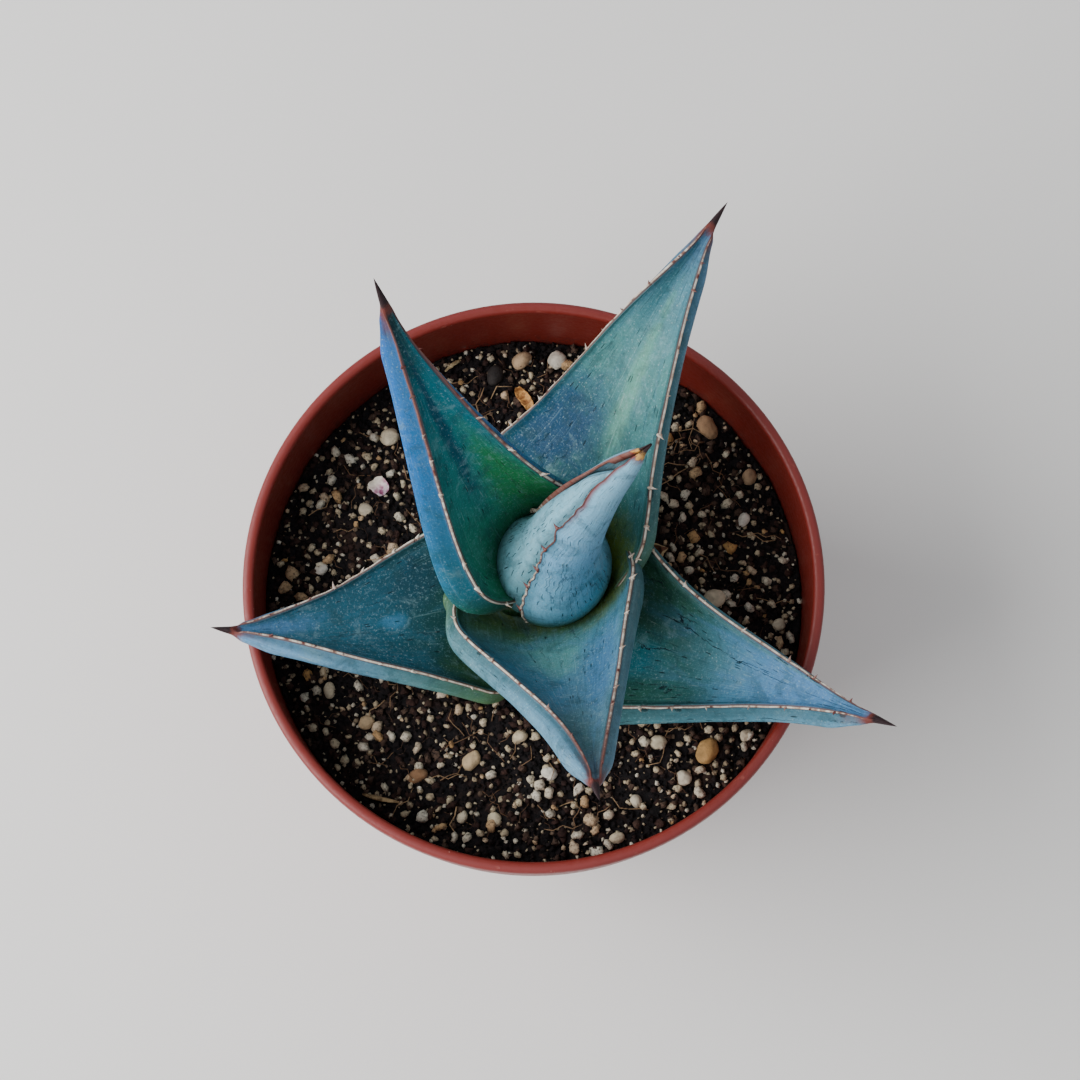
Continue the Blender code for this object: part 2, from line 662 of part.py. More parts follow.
curl = makeStrip("amber_curl", [(-3.6, 46.6, 0.3), (-3.0, 45.0, 1.0), (-2.0, 43.6, 1.3), (-1.2, 42.2, 1.1),
                                (-0.8, 40.8, 0.4)], 1.3, 0.45, 10, (0.45, 0.20, 0.05), 0.6, 0.5)
petal = makeStrip("petal_scrap", [(-34.6, 25.6, 0.5), (-33.8, 24.6, 1.3), (-32.8, 23.6, 1.6), (-31.8, 22.8, 0.9)],
                  1.9, 0.4, 10, (0.75, 0.45, 0.55), 0.7, 0.6)
strawBack = makeStrip("straw_back", [(-19.4, 50.4, 0.4), (-17.6, 51.8, 1.2), (-16.0, 52.8, 0.8)],
                      0.45, 0.4, 8, (0.50, 0.38, 0.22), 0.8)
strawFront = makeStrip("straw_front", [(-36.0, -41.8, 0.4), (-32.6, -42.8, 0.9), (-28.2, -43.6, 0.4)],
                       0.5, 0.4, 8, (0.48, 0.34, 0.18), 0.8)

litter = [makeGrain(i + 1, *row) for i, row in enumerate(grains)]
litter += [curl, petal, strawBack, strawFront]
pockets = [grow(thing, cutGap, thing.name + "_cutter") for thing in litter]
hollows = bpy.data.collections.new("soil_hollows")
for cutter in stand + pockets:
    hollows.objects.link(cutter)
boolean = soil.modifiers.new("hollows", "BOOLEAN")
boolean.operation = "DIFFERENCE"
boolean.solver = "EXACT"
boolean.operand_type = "COLLECTION"
boolean.collection = hollows
boolean.use_self = True
applyModifiers(soil)
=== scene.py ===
import math
import random

import bmesh
import bpy
import numpy as np
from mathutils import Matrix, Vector, noise


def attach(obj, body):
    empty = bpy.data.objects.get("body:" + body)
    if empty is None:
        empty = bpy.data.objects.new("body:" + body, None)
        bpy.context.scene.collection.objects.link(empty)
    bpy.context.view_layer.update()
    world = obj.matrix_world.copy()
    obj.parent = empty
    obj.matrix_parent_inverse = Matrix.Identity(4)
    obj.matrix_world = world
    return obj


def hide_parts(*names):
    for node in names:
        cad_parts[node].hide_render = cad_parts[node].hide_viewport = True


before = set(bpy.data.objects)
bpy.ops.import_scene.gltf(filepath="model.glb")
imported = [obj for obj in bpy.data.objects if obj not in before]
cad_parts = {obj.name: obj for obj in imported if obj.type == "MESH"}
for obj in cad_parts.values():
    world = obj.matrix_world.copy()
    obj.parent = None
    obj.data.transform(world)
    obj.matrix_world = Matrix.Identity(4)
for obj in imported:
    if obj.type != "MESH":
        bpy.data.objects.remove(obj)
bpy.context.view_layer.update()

mm = 0.001
print("frame loaded", len(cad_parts), "nodes")


def rgb(r, g, b):
    # screen colour to linear
    return tuple((c / 255 / 12.92) if c < 10.3 else ((c / 255 + 0.055) / 1.055) ** 2.4 for c in (r, g, b))


def ease(x, low, high):
    t = np.clip((x - low) / (high - low), 0.0, 1.0)
    return t * t * (3.0 - 2.0 * t)


def curveThrough(t, table):
    # smooth curve through a few (place, size) pairs
    xs = np.array([row[0] for row in table])
    ys = np.array([row[1] for row in table])
    slope = np.gradient(ys, xs)
    t = np.clip(np.asarray(t, float), xs[0], xs[-1])
    i = np.clip(np.searchsorted(xs, t) - 1, 0, len(xs) - 2)
    span = xs[i + 1] - xs[i]
    u = (t - xs[i]) / span
    return ((2 * u ** 3 - 3 * u ** 2 + 1) * ys[i] + (u ** 3 - 2 * u ** 2 + u) * span * slope[i]
            + (3 * u ** 2 - 2 * u ** 3) * ys[i + 1] + (u ** 3 - u ** 2) * span * slope[i + 1])


def ringMesh(name, rings, marks=None):
    # rings: steps x around x 3 in mm, closed round; the ends are closed with a point each
    steps, around = rings.shape[:2]
    points = np.vstack([rings.reshape(-1, 3), rings[0].mean(axis=0), rings[-1].mean(axis=0)]) * mm
    faces = []
    for i in range(steps - 1):
        for k in range(around):
            j = (k + 1) % around
            faces.append((i * around + k, i * around + j, (i + 1) * around + j, (i + 1) * around + k))
    first = steps * around
    for k in range(around):
        j = (k + 1) % around
        faces.append((first, j, k))
        faces.append((first + 1, (steps - 1) * around + k, (steps - 1) * around + j))
    mesh = bpy.data.meshes.new(name)
    mesh.from_pydata(points.tolist(), [], faces)
    for mark, values in (marks or {}).items():
        grid = np.concatenate([values.ravel(), [values[0].mean(), values[-1].mean()]])
        mesh.attributes.new(mark, "FLOAT", "POINT").data.foreach_set("value", grid.astype(np.float32))
    return finishMesh(name, mesh)


def facesOut(mesh):
    bm = bmesh.new()
    bm.from_mesh(mesh)
    bmesh.ops.recalc_face_normals(bm, faces=bm.faces)
    bm.to_mesh(mesh)
    bm.free()


def finishMesh(name, mesh):
    facesOut(mesh)
    mesh.shade_smooth()
    thing = bpy.data.objects.new(name, mesh)
    bpy.context.collection.objects.link(thing)
    return thing


def settle(thing, material, slot, *nodes):
    # give a piece its finish and its place in the frame
    if material:
        thing.data.materials.clear()
        thing.data.materials.append(material)
    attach(thing, "root")
    if nodes:
        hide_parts(*nodes)
    return thing


class Finish:
    # a node material under construction; each call adds a node and gives back its output

    def __init__(self, name, roughness=0.6, **sockets):
        self.material = bpy.data.materials.new(name)
        self.material.use_nodes = True
        self.tree = self.material.node_tree
        self.shader = self.tree.nodes["Principled BSDF"]
        self.shader.inputs["Roughness"].default_value = roughness
        for socket, value in sockets.items():
            self.shader.inputs[socket.replace("_", " ")].default_value = value
        self.place = self.add("ShaderNodeTexCoord").outputs["Object"]

    def add(self, kind, **values):
        node = self.tree.nodes.new(kind)
        for key, value in values.items():
            setattr(node, key, value)
        return node

    def feed(self, socket, value):
        if isinstance(value, bpy.types.NodeSocket):
            self.tree.links.new(value, socket)
        elif isinstance(value, tuple) and len(value) == 3 and socket.type == "RGBA":
            socket.default_value = (*value, 1.0)
        else:
            socket.default_value = value

    def mark(self, name):
        return self.add("ShaderNodeAttribute", attribute_name=name).outputs["Fac"]

    def stretch(self, x=1000.0, y=1000.0, z=1000.0, shift=(0.0, 0.0, 0.0), turn=(0.0, 0.0, 0.0)):
        node = self.add("ShaderNodeMapping")
        self.feed(node.inputs["Vector"], self.place)
        node.inputs["Scale"].default_value = (x, y, z)
        node.inputs["Location"].default_value = shift
        node.inputs["Rotation"].default_value = turn
        return node.outputs[0]

    def join(self, x, y, z=0.0):
        node = self.add("ShaderNodeCombineXYZ")
        for socket, value in zip(node.inputs, (x, y, z)):
            self.feed(socket, value)
        return node.outputs[0]

    def calc(self, operation, a, b=0.0, c=0.0):
        node = self.add("ShaderNodeMath", operation=operation)
        for socket, value in zip(node.inputs, (a, b, c)):
            self.feed(socket, value)
        return node.outputs[0]

    def times(self, a, b):
        return self.calc("MULTIPLY", a, b)

    def plus(self, a, b):
        return self.calc("ADD", a, b)

    def minus(self, a, b):
        return self.calc("SUBTRACT", a, b)

    def step(self, value, low, high, start=0.0, end=1.0):
        node = self.add("ShaderNodeMapRange", interpolation_type="SMOOTHSTEP")
        for socket, item in zip(node.inputs, (value, low, high, start, end)):
            self.feed(socket, item)
        return node.outputs[0]

    def cloud(self, vector, scale, detail=4.0, rough=0.55, warp=0.0):
        node = self.add("ShaderNodeTexNoise")
        self.feed(node.inputs["Vector"], vector)
        node.inputs["Scale"].default_value = scale
        node.inputs["Detail"].default_value = detail
        node.inputs["Roughness"].default_value = rough
        node.inputs["Distortion"].default_value = warp
        return node.outputs["Fac"]

    def cells(self, vector, scale, feature="F1", jitter=1.0, flat=False):
        node = self.add("ShaderNodeTexVoronoi", feature=feature, voronoi_dimensions="2D" if flat else "3D")
        self.feed(node.inputs["Vector"], vector)
        node.inputs["Scale"].default_value = scale
        node.inputs["Randomness"].default_value = jitter
        return node

    def mix(self, factor, a, b, blend="MIX"):
        node = self.add("ShaderNodeMix", data_type="RGBA", blend_type=blend)
        self.feed(node.inputs[0], factor)
        self.feed(node.inputs[6], a)
        self.feed(node.inputs[7], b)
        return node.outputs[2]

    def veil(self, color, value, low, high, strength, tone):
        # lay a tone over the colour where the value runs from low to high
        return self.mix(self.step(value, low, high, 0.0, strength), color, tone)

    def ramp(self, value, stops):
        node = self.add("ShaderNodeValToRGB")
        self.feed(node.inputs[0], value)
        line = node.color_ramp
        while len(line.elements) < len(stops):
            line.elements.new(0.5)
        for element, (place, color) in zip(line.elements, stops):
            element.position = place
            element.color = (*color, 1.0)
        return node.outputs[0]

    def done(self, color, roughness=None, height=None, depth=0.0002):
        self.feed(self.shader.inputs["Base Color"], color)
        if roughness is not None:
            self.feed(self.shader.inputs["Roughness"], roughness)
        if height is not None:
            bump = self.add("ShaderNodeBump")
            bump.inputs["Strength"].default_value = 1.0
            bump.inputs["Distance"].default_value = depth
            self.feed(bump.inputs["Height"], height)
            self.feed(self.shader.inputs["Normal"], bump.outputs[0])
        return self.material


def newTree(name, inputs):
    tree = bpy.data.node_groups.new(name, "GeometryNodeTree")
    tree.interface.new_socket("Geometry", in_out="INPUT", socket_type="NodeSocketGeometry")
    for label, kind, value in inputs:
        socket = tree.interface.new_socket(label, in_out="INPUT", socket_type="NodeSocket" + kind)
        if value is not None:
            socket.default_value = value
    tree.interface.new_socket("Geometry", in_out="OUTPUT", socket_type="NodeSocketGeometry")
    start = tree.nodes.new("NodeGroupInput")
    end = tree.nodes.new("NodeGroupOutput")
    return tree, start.outputs, end.inputs


def plug(tree, kind, links=(), **values):
    # add a node, set its own settings, then feed inputs by number
    node = tree.nodes.new(kind)
    for key, value in values.items():
        setattr(node, key, value)
    for number, value in links:
        if isinstance(value, bpy.types.NodeSocket):
            tree.links.new(value, node.inputs[number])
        else:
            node.inputs[number].default_value = value
    return node


def endTree(tree, made, start, end):
    # turn instances into faces, give them the finish and hand them over
    real = plug(tree, "GeometryNodeRealizeInstances", [(0, made.outputs[0])])
    paint = plug(tree, "GeometryNodeSetMaterial", [(0, real.outputs[0]), (2, start["Finish"])])
    tree.links.new(paint.outputs[0], end[0])


def runTree(host, tree, settings, name):
    # run the tree on its host and keep the result as a plain mesh
    modifier = host.modifiers.new(tree.name, "NODES")
    modifier.node_group = tree
    for item in tree.interface.items_tree:
        if item.in_out == "INPUT" and item.name in settings:
            modifier[item.identifier] = settings[item.name]
    bpy.context.view_layer.update()
    graph = bpy.context.evaluated_depsgraph_get()
    mesh = bpy.data.meshes.new_from_object(host.evaluated_get(graph), depsgraph=graph)
    host.modifiers.remove(modifier)
    mesh.name = name
    result = bpy.data.objects.new(name, mesh)
    bpy.context.collection.objects.link(result)
    return result


def dropHelpers(*things):
    for thing in things:
        bpy.data.objects.remove(thing, do_unlink=True)


# the camera's place and lens were solved from the pot's lip
stage = dict(
    camera=(0.0013, -0.0982, 0.5875), elevation=77.78, lens=81.37,
    floorSize=6.0, floorColor=rgb(238, 236, 233),
    keyPower=17.5, keySize=0.95, keyPlace=(-0.72, -0.1, 0.62),
    fillPower=2.5, fillSize=1.6, fillPlace=(-0.2, -1.0, 1.2),
    skyLevel=0.52)


def aim(place, target):
    return (Vector(target) - Vector(place)).to_track_quat("-Z", "Y").to_euler()


def makeStage(look):
    camera = bpy.data.cameras.new("camera")
    camera.lens = look["lens"]
    camera.sensor_width = 36.0
    camera.clip_start = 0.01
    camera.clip_end = 20.0
    shot = bpy.data.objects.new("camera", camera)
    shot.location = look["camera"]
    shot.rotation_euler = (math.radians(90.0 - look["elevation"]), 0.0, 0.0)
    bpy.context.collection.objects.link(shot)
    bpy.context.scene.camera = shot

    half = look["floorSize"] / 2
    mesh = bpy.data.meshes.new("floor")
    mesh.from_pydata([(-half, -half, 0), (half, -half, 0), (half, half, 0), (-half, half, 0)], [],
                     [(0, 1, 2, 3)])
    floor = bpy.data.objects.new("floor", mesh)
    bpy.context.collection.objects.link(floor)
    cover = Finish("floorFinish", 0.85)
    grain = cover.cloud(cover.stretch(), 0.02, 2.0)
    tone = cover.mix(grain, tuple(c * 0.97 for c in look["floorColor"]), look["floorColor"])
    mesh.materials.append(cover.done(tone))

    for name, size, power, place in (("keyLight", look["keySize"], look["keyPower"], look["keyPlace"]),
                                     ("fillLight", look["fillSize"], look["fillPower"], look["fillPlace"])):
        lamp = bpy.data.lights.new(name, "AREA")
        lamp.size = size
        lamp.energy = power
        thing = bpy.data.objects.new(name, lamp)
        thing.location = place
        thing.rotation_euler = aim(place, (0.0, 0.0, 0.09))
        bpy.context.collection.objects.link(thing)

    world = bpy.data.worlds.new("sky")
    bpy.context.scene.world = world
    world.use_nodes = True
    back = world.node_tree.nodes["Background"]
    back.inputs[0].default_value = (0.93, 0.96, 1.0, 1.0)
    back.inputs[1].default_value = look["skyLevel"]


makeStage(stage)
print("camera, floor and light")


potSizes = dict(
    height=95.0, rim=60.0, lipWidth=2.4, lipHeight=4.0, lipRound=0.8, lipOverhang=0.9,
    collarHeight=22.5, collarLean=0.3, collarWall=1.5, collarStep=4.0, stepHeight=1.3,
    base=43.0, wall=1.3, floor=1.6, sides=168,
    drains=8, drainWidth=6.0, drainLength=8.0, drainHeight=3.5, drainTurn=22.5)


def potInside(pot):
    collarLow = pot["height"] - pot["collarHeight"]
    collarInner = pot["rim"] - pot["lipOverhang"] - pot["collarLean"] - pot["collarWall"]
    return [(pot["rim"] - pot["lipWidth"], pot["height"] - pot["lipRound"]),
            (collarInner, collarLow),
            (collarInner - pot["collarStep"], collarLow - pot["stepHeight"]),
            (pot["base"] - pot["wall"], pot["floor"])]


def roundLine(points, radii, steps=5):
    # polyline whose corners are turned into short arcs
    line = [points[0]]
    for before, corner, after, radius in zip(points, points[1:], points[2:], radii):
        a = Vector(before) - Vector(corner)
        b = Vector(after) - Vector(corner)
        reach = min(radius, a.length * 0.45, b.length * 0.45)
        start = Vector(corner) + a.normalized() * reach
        end = Vector(corner) + b.normalized() * reach
        for k in range(steps + 1):
            t = k / steps
            line.append(tuple(start * (1 - t) ** 2 + Vector(corner) * 2 * t * (1 - t) + end * t * t))
    line.append(points[-1])
    return line


def potProfile(pot):
    collarLow = pot["height"] - pot["collarHeight"]
    collarOuter = pot["rim"] - pot["lipOverhang"] - pot["collarLean"]
    top = pot["height"]
    inside = potInside(pot)
    corners = [(0.0, 0.0), (pot["base"], 0.0),
               (collarOuter - pot["collarWall"] - pot["collarStep"] + pot["wall"],
                collarLow - pot["stepHeight"]),
               (collarOuter, collarLow),
               (pot["rim"] - pot["lipOverhang"], top - pot["lipHeight"] - 0.6),
               (pot["rim"], top - pot["lipHeight"]), (pot["rim"], top),
               (pot["rim"] - pot["lipWidth"], top), inside[1], inside[2], inside[3], (0.0, pot["floor"])]
    return roundLine(corners, [0.9, 0.8, 0.7, 0.5, 0.5, 1.1, 1.1, 1.0, 1.0, 1.5])


def makePot(pot):
    # the wall's outline is swept round the axis, then the drain slots are taken out
    line = potProfile(pot)
    mesh = bpy.data.meshes.new("potOutline")
    mesh.from_pydata([(r * mm, -z * mm, 0.0) for r, z in line], [(i, i + 1) for i in range(len(line) - 1)],
                     [])
    outline = bpy.data.objects.new("potOutline", mesh)
    bpy.context.collection.objects.link(outline)
    tree, start, end = newTree("potSweep", [
        ("Sides", "Int", 96), ("Drains", "Int", 8), ("Drain Ring", "Float", 0.04),
        ("Drain Size", "Vector", None),
        ("Drain Turn", "Float", 0.0), ("Finish", "Material", None)])
    ring = plug(tree, "GeometryNodeCurvePrimitiveCircle", [(0, start["Sides"]), (4, 0.0001)])
    curve = plug(tree, "GeometryNodeMeshToCurve", [(0, start["Geometry"])])
    shift = plug(tree, "GeometryNodeTransform", [(0, curve.outputs[0]), (1, (-0.0001, 0.0, 0.0))])
    swept = plug(tree, "GeometryNodeCurveToMesh", [(0, ring.outputs[0]), (1, shift.outputs[0])])
    whole = plug(tree, "GeometryNodeMergeByDistance", [(0, swept.outputs[0]), (2, 0.00001)])
    spots = plug(tree, "GeometryNodeMeshCircle", [(0, start["Drains"]), (1, start["Drain Ring"])])
    turned = plug(tree, "GeometryNodeTransform", [(0, spots.outputs[0])])
    spin = plug(tree, "ShaderNodeCombineXYZ", [(2, start["Drain Turn"])])
    tree.links.new(spin.outputs[0], turned.inputs[2])
    block = plug(tree, "GeometryNodeMeshCube", [(0, start["Drain Size"])])
    where = plug(tree, "GeometryNodeInputPosition")
    face = plug(tree, "FunctionNodeAlignRotationToVector", [(2, where.outputs[0])], axis="X")
    slots = plug(tree, "GeometryNodeInstanceOnPoints",
                 [(0, turned.outputs[0]), (2, block.outputs[0]), (5, face.outputs[0])])
    solid = plug(tree, "GeometryNodeRealizeInstances", [(0, slots.outputs[0])])
    holes = plug(tree, "GeometryNodeMeshBoolean", [(0, whole.outputs[0]), (1, solid.outputs[0])],
                 operation="DIFFERENCE")
    endTree(tree, holes, start, end)
    reach = pot["base"] + 2.0 - pot["drainLength"] / 2
    result = runTree(outline, tree, {
        "Sides": pot["sides"], "Drains": pot["drains"], "Drain Ring": reach * mm,
        "Drain Size": (pot["drainLength"] * mm, pot["drainWidth"] * mm, 2 * pot["drainHeight"] * mm),
        "Drain Turn": math.radians(pot["drainTurn"]), "Finish": None}, "pot_body")
    dropHelpers(outline)
    facesOut(result.data)
    return result


def potPlastic():
    look = Finish("terracottaPlastic", 0.42, Specular_IOR_Level=0.45)
    wide = look.cloud(look.stretch(), 0.035, 3.0)
    fine = look.cloud(look.stretch(), 0.9, 5.0, 0.6)
    color = look.mix(wide, rgb(116, 38, 35), rgb(130, 49, 45))
    split = look.add("ShaderNodeSeparateXYZ")
    look.feed(split.inputs[0], look.place)
    radius = look.calc("SQRT", look.plus(look.times(split.outputs[0], split.outputs[0]),
                                         look.times(split.outputs[1], split.outputs[1])))
    # the inside of the wall above the step, by radius and by height in metres
    within = look.step(radius, 0.0590, 0.0584)
    above = look.step(split.outputs[2], 0.0722, 0.0728)
    inner = look.times(within, above)
    color = look.mix(inner, color, rgb(118, 36, 28))
    dustSpots = look.cells(look.stretch(), 0.55)
    speck = look.step(dustSpots.outputs["Distance"], 0.10, 0.04)
    keep = look.step(look.cloud(look.stretch(shift=(7, 3, 1)), 0.25, 2.0), 0.52, 0.66)
    dust = look.times(speck, keep)
    scratch = look.step(look.cloud(look.stretch(300, 300, 2600), 1.0, 3.0, 0.5, 0.3), 0.68, 0.74)
    color = look.mix(look.times(scratch, 0.2), color, rgb(176, 100, 84))
    color = look.mix(look.times(dust, 0.55), color, rgb(205, 160, 145))
    low = look.step(split.outputs[2], 0.082, 0.074)
    stain = look.times(look.times(low, inner), look.step(fine, 0.45, 0.62))
    color = look.mix(look.times(stain, 0.7), color, rgb(60, 36, 30))
    rough = look.step(fine, 0.3, 0.7, 0.36, 0.52)
    height = look.plus(fine, look.times(scratch, -0.6))
    return look.done(color, rough, height, 0.00006)


pot = makePot(potSizes)
pot.data.shade_smooth()
pot.data.set_sharp_from_angle(angle=math.radians(32))
settle(pot, potPlastic(), "pot", "pot")
print("pot", len(pot.data.polygons))


soilSizes = dict(drop=20.3, mound=4.4, ripple=0.45, rings=120, sides=330, lump=1.5, crumb=0.55, gap=0.34)


def soilLevel(x, y):
    reach = np.hypot(x, y) / potSizes["rim"]
    rise = soilSizes["mound"] * (1 - ease(reach, 0.25, 0.95))
    wave = np.sin(x * 0.21 + 1.0) * np.cos(y * 0.17) + 0.6 * np.sin(y * 0.37 + x * 0.11)
    return potSizes["height"] - soilSizes["drop"] + rise + soilSizes["ripple"] * wave


def soilRough(x, y):
    # lumps and crumbs on top of the smooth level
    lumps = noise.fractal(Vector((x * 0.16, y * 0.16, 2.0)), 0.9, 2.2, 4)
    crumbs = noise.fractal(Vector((x * 0.7, y * 0.7, 9.0)), 0.7, 2.3, 3)
    return float(soilLevel(x, y)) + soilSizes["lump"] * lumps * 0.6 + soilSizes["crumb"] * crumbs


def makeSoil(soil):
    inside = potInside(potSizes)
    collarInner, collarLow = inside[1]
    top = potSizes["height"] - soil["drop"]
    lean = (inside[0][0] - collarInner) / (inside[0][1] - collarLow)
    edge = collarInner + lean * (top - collarLow) - soil["gap"]
    turns = np.linspace(0, 2 * math.pi, soil["sides"], endpoint=False)
    rings = []
    for radius, z in ((1.0, inside[3][1] + soil["gap"]),
                      (inside[3][0] - soil["gap"], inside[3][1] + soil["gap"]),
                      (inside[2][0] - soil["gap"], inside[2][1]),
                      (collarInner - soil["gap"], collarLow + 0.15)):
        rings.append(np.c_[radius * np.cos(turns), radius * np.sin(turns), np.full(len(turns), z)])
    for i in range(soil["rings"]):
        radius = edge * (1 - i / soil["rings"]) ** 0.85 if i else edge
        ring = [(radius * math.cos(t), radius * math.sin(t),
                 soilRough(radius * math.cos(t), radius * math.sin(t)))
                for t in turns]
        rings.append(np.array(ring))
    rings[4][:, 2] = np.maximum(rings[4][:, 2], collarLow + 0.6)
    return ringMesh("soil_bed", np.array(rings))


def soilFinish():
    look = Finish("darkPeat", 0.95, Specular_IOR_Level=0.25)
    spot = look.stretch()
    wide = look.cloud(spot, 0.12, 4.0)
    fine = look.cloud(spot, 1.1, 6.0, 0.7)
    color = look.ramp(fine, [(0.25, rgb(9, 8, 9)), (0.5, rgb(20, 17, 19)), (0.72, rgb(42, 32, 32))])
    color = look.mix(look.step(wide, 0.5, 0.75), color, rgb(52, 36, 30))
    return look.done(color, 0.95, fine, 0.0006)


soil = makeSoil(soilSizes)
settle(soil, soilFinish(), "soil", "soil")
print("soil", len(soil.data.polygons))


plantX = 4.0
plantY = 2.5
spineRadius = 0.9
spineStart = 0.93
edgeThickness = 0.75
soilTop = potSizes["height"] - soilSizes["drop"]

# angles in degrees and lengths in mm. Most values are a least-squares fit's output, rounded. Height and
# seed are not, and elevBase and elevTip of leaf_west and foot of leaf_front differ from it
leaves = {
    "leaf_left": dict(
        azimuth=139.3, sway=-23.9, elevBase=83.4, elevTip=51.6,
        length=94.0, width=39.7, foot=0.39, taper=1.33,
        foldBase=81.7, foldMid=61.1, foldTip=25.0,
        roll=20.0, rollMid=-45.8, rollTip=17.8,
        height=13.3, thickBase=8.1, thickTip=3.8,
        backLeft=7.8, backRight=1.0, keel=-32.0, seed=3),
    "leaf_back": dict(
        azimuth=67.5, sway=-14.7, elevBase=58.0, elevTip=20.0,
        length=81.9, width=54.2, foot=0.61, taper=1.20,
        foldBase=60.0, foldMid=22.9, foldTip=71.5,
        roll=-11.5, rollMid=-40.7, rollTip=59.1,
        height=10.3, thickBase=5.0, thickTip=3.3,
        backLeft=1.0, backRight=3.7, keel=21.5, seed=11),
    "leaf_west": dict(
        azimuth=199.3, sway=-28.2, elevBase=26.0, elevTip=11.5,
        length=65.5, width=46.5, foot=0.66, taper=1.10,
        foldBase=60.0, foldMid=44.4, foldTip=100.0,
        roll=-37.6, rollMid=11.8, rollTip=72.0,
        height=7.3, thickBase=7.9, thickTip=2.1,
        backLeft=6.1, backRight=2.5, keel=-17.7, seed=19),
    "leaf_east": dict(
        azimuth=330.3, sway=4.2, elevBase=28.0, elevTip=30.0,
        length=76.2, width=47.7, foot=0.59, taper=1.37,
        foldBase=60.9, foldMid=52.5, foldTip=35.4,
        roll=1.8, rollMid=46.2, rollTip=-42.3,
        height=6.3, thickBase=6.7, thickTip=3.8,
        backLeft=1.0, backRight=8.0, keel=32.0, seed=27),
    "leaf_front": dict(
        azimuth=276.6, sway=6.6, elevBase=60.1, elevTip=50.0,
        length=76.7, width=49.0, foot=0.76, taper=1.20,
        foldBase=71.3, foldMid=57.3, foldTip=89.8,
        roll=10.5, rollMid=23.5, rollTip=-61.6,
        height=11.3, thickBase=6.0, thickTip=3.7,
        backLeft=8.0, backRight=2.2, keel=31.8, seed=35),
}
for leaf in leaves.values():
    leaf.update(arch=1.6, footEnd=0.22, reach=9.0, sunk=5.0)
leafMesh = dict(steps=170, inner=39, outer=41, rimHeight=0.45, rimWave=0.22, ripple=0.18)
toothSizes = dict(pitch=7.4, first=0.12, last=0.86, height=2.0, width=1.15, jitter=0.4)


def leafAxis(leaf, tau):
    fine = np.linspace(0.0, 1.0, 401)

    def headings(t):
        turn = np.radians(leaf["azimuth"] + leaf["sway"] * t * t)
        rise = leaf["elevTip"] + (leaf["elevBase"] - leaf["elevTip"]) * (1 - t) ** leaf["arch"]
        rise = np.radians(rise)
        along = np.c_[np.cos(rise) * np.cos(turn), np.cos(rise) * np.sin(turn), np.sin(rise)]
        up = np.c_[-np.sin(rise) * np.cos(turn), -np.sin(rise) * np.sin(turn), np.cos(rise)]
        return along, up

    run, _ = headings(fine)
    walk = np.vstack([[0, 0, 0], np.cumsum((run[1:] + run[:-1]) / 2 * leaf["length"] / 400, axis=0)])
    start = math.radians(leaf["azimuth"])
    walk += [plantX + leaf["reach"] * math.cos(start), plantY + leaf["reach"] * math.sin(start),
             soilTop + leaf["height"]]
    t = np.clip(tau, 0.0, 1.0)
    along, up = headings(t)
    place = np.c_[[np.interp(t, fine, walk[:, i]) for i in range(3)]].T
    place += along * (np.minimum(tau, 0.0) * leaf["length"])[:, None]
    side = np.cross(along, up)
    roll = np.radians(leaf["roll"] + leaf["rollTip"] * t + leaf["rollMid"] * 4 * t * (1 - t))[:, None]
    return place, np.cos(roll) * side - np.sin(roll) * up, np.cos(roll) * up + np.sin(roll) * side, along


def leafShape(leaf, tau):
    t = np.clip(tau, 0.0, 1.0)
    x = np.clip(t / spineStart, 0.0, 1.0)
    foot = leaf["foot"] + (1 - leaf["foot"]) * ease(t, 0.0, leaf["footEnd"])
    body = leaf["width"] / 2 * (1 - x) ** leaf["taper"] * foot
    needle = spineRadius * np.clip((1 - t) / (1 - spineStart), 0.0, 1.0) ** 0.8
    half = np.hypot(body, np.where(t > spineStart, needle, spineRadius))
    fold = leaf["foldMid"] + (leaf["foldBase"] - leaf["foldMid"]) * (1 - ease(t, 0.0, 0.3))
    fold = np.radians(fold + (leaf["foldTip"] - leaf["foldMid"]) * ease(t, 0.5, 0.95))
    thick = leaf["thickTip"] + (leaf["thickBase"] - leaf["thickTip"]) * (1 - t)
    near = ease(t, 0.8, spineStart)
    thick = np.where(t > spineStart, np.minimum(thick, 1.7 * half),
                     thick * (1 - near) + 1.7 * spineRadius * near)
    return half, fold, thick


def wobble(seed, x, scale):
    return np.array([noise.noise(Vector((float(v) * scale, seed * 3.7, 0.5))) for v in x])


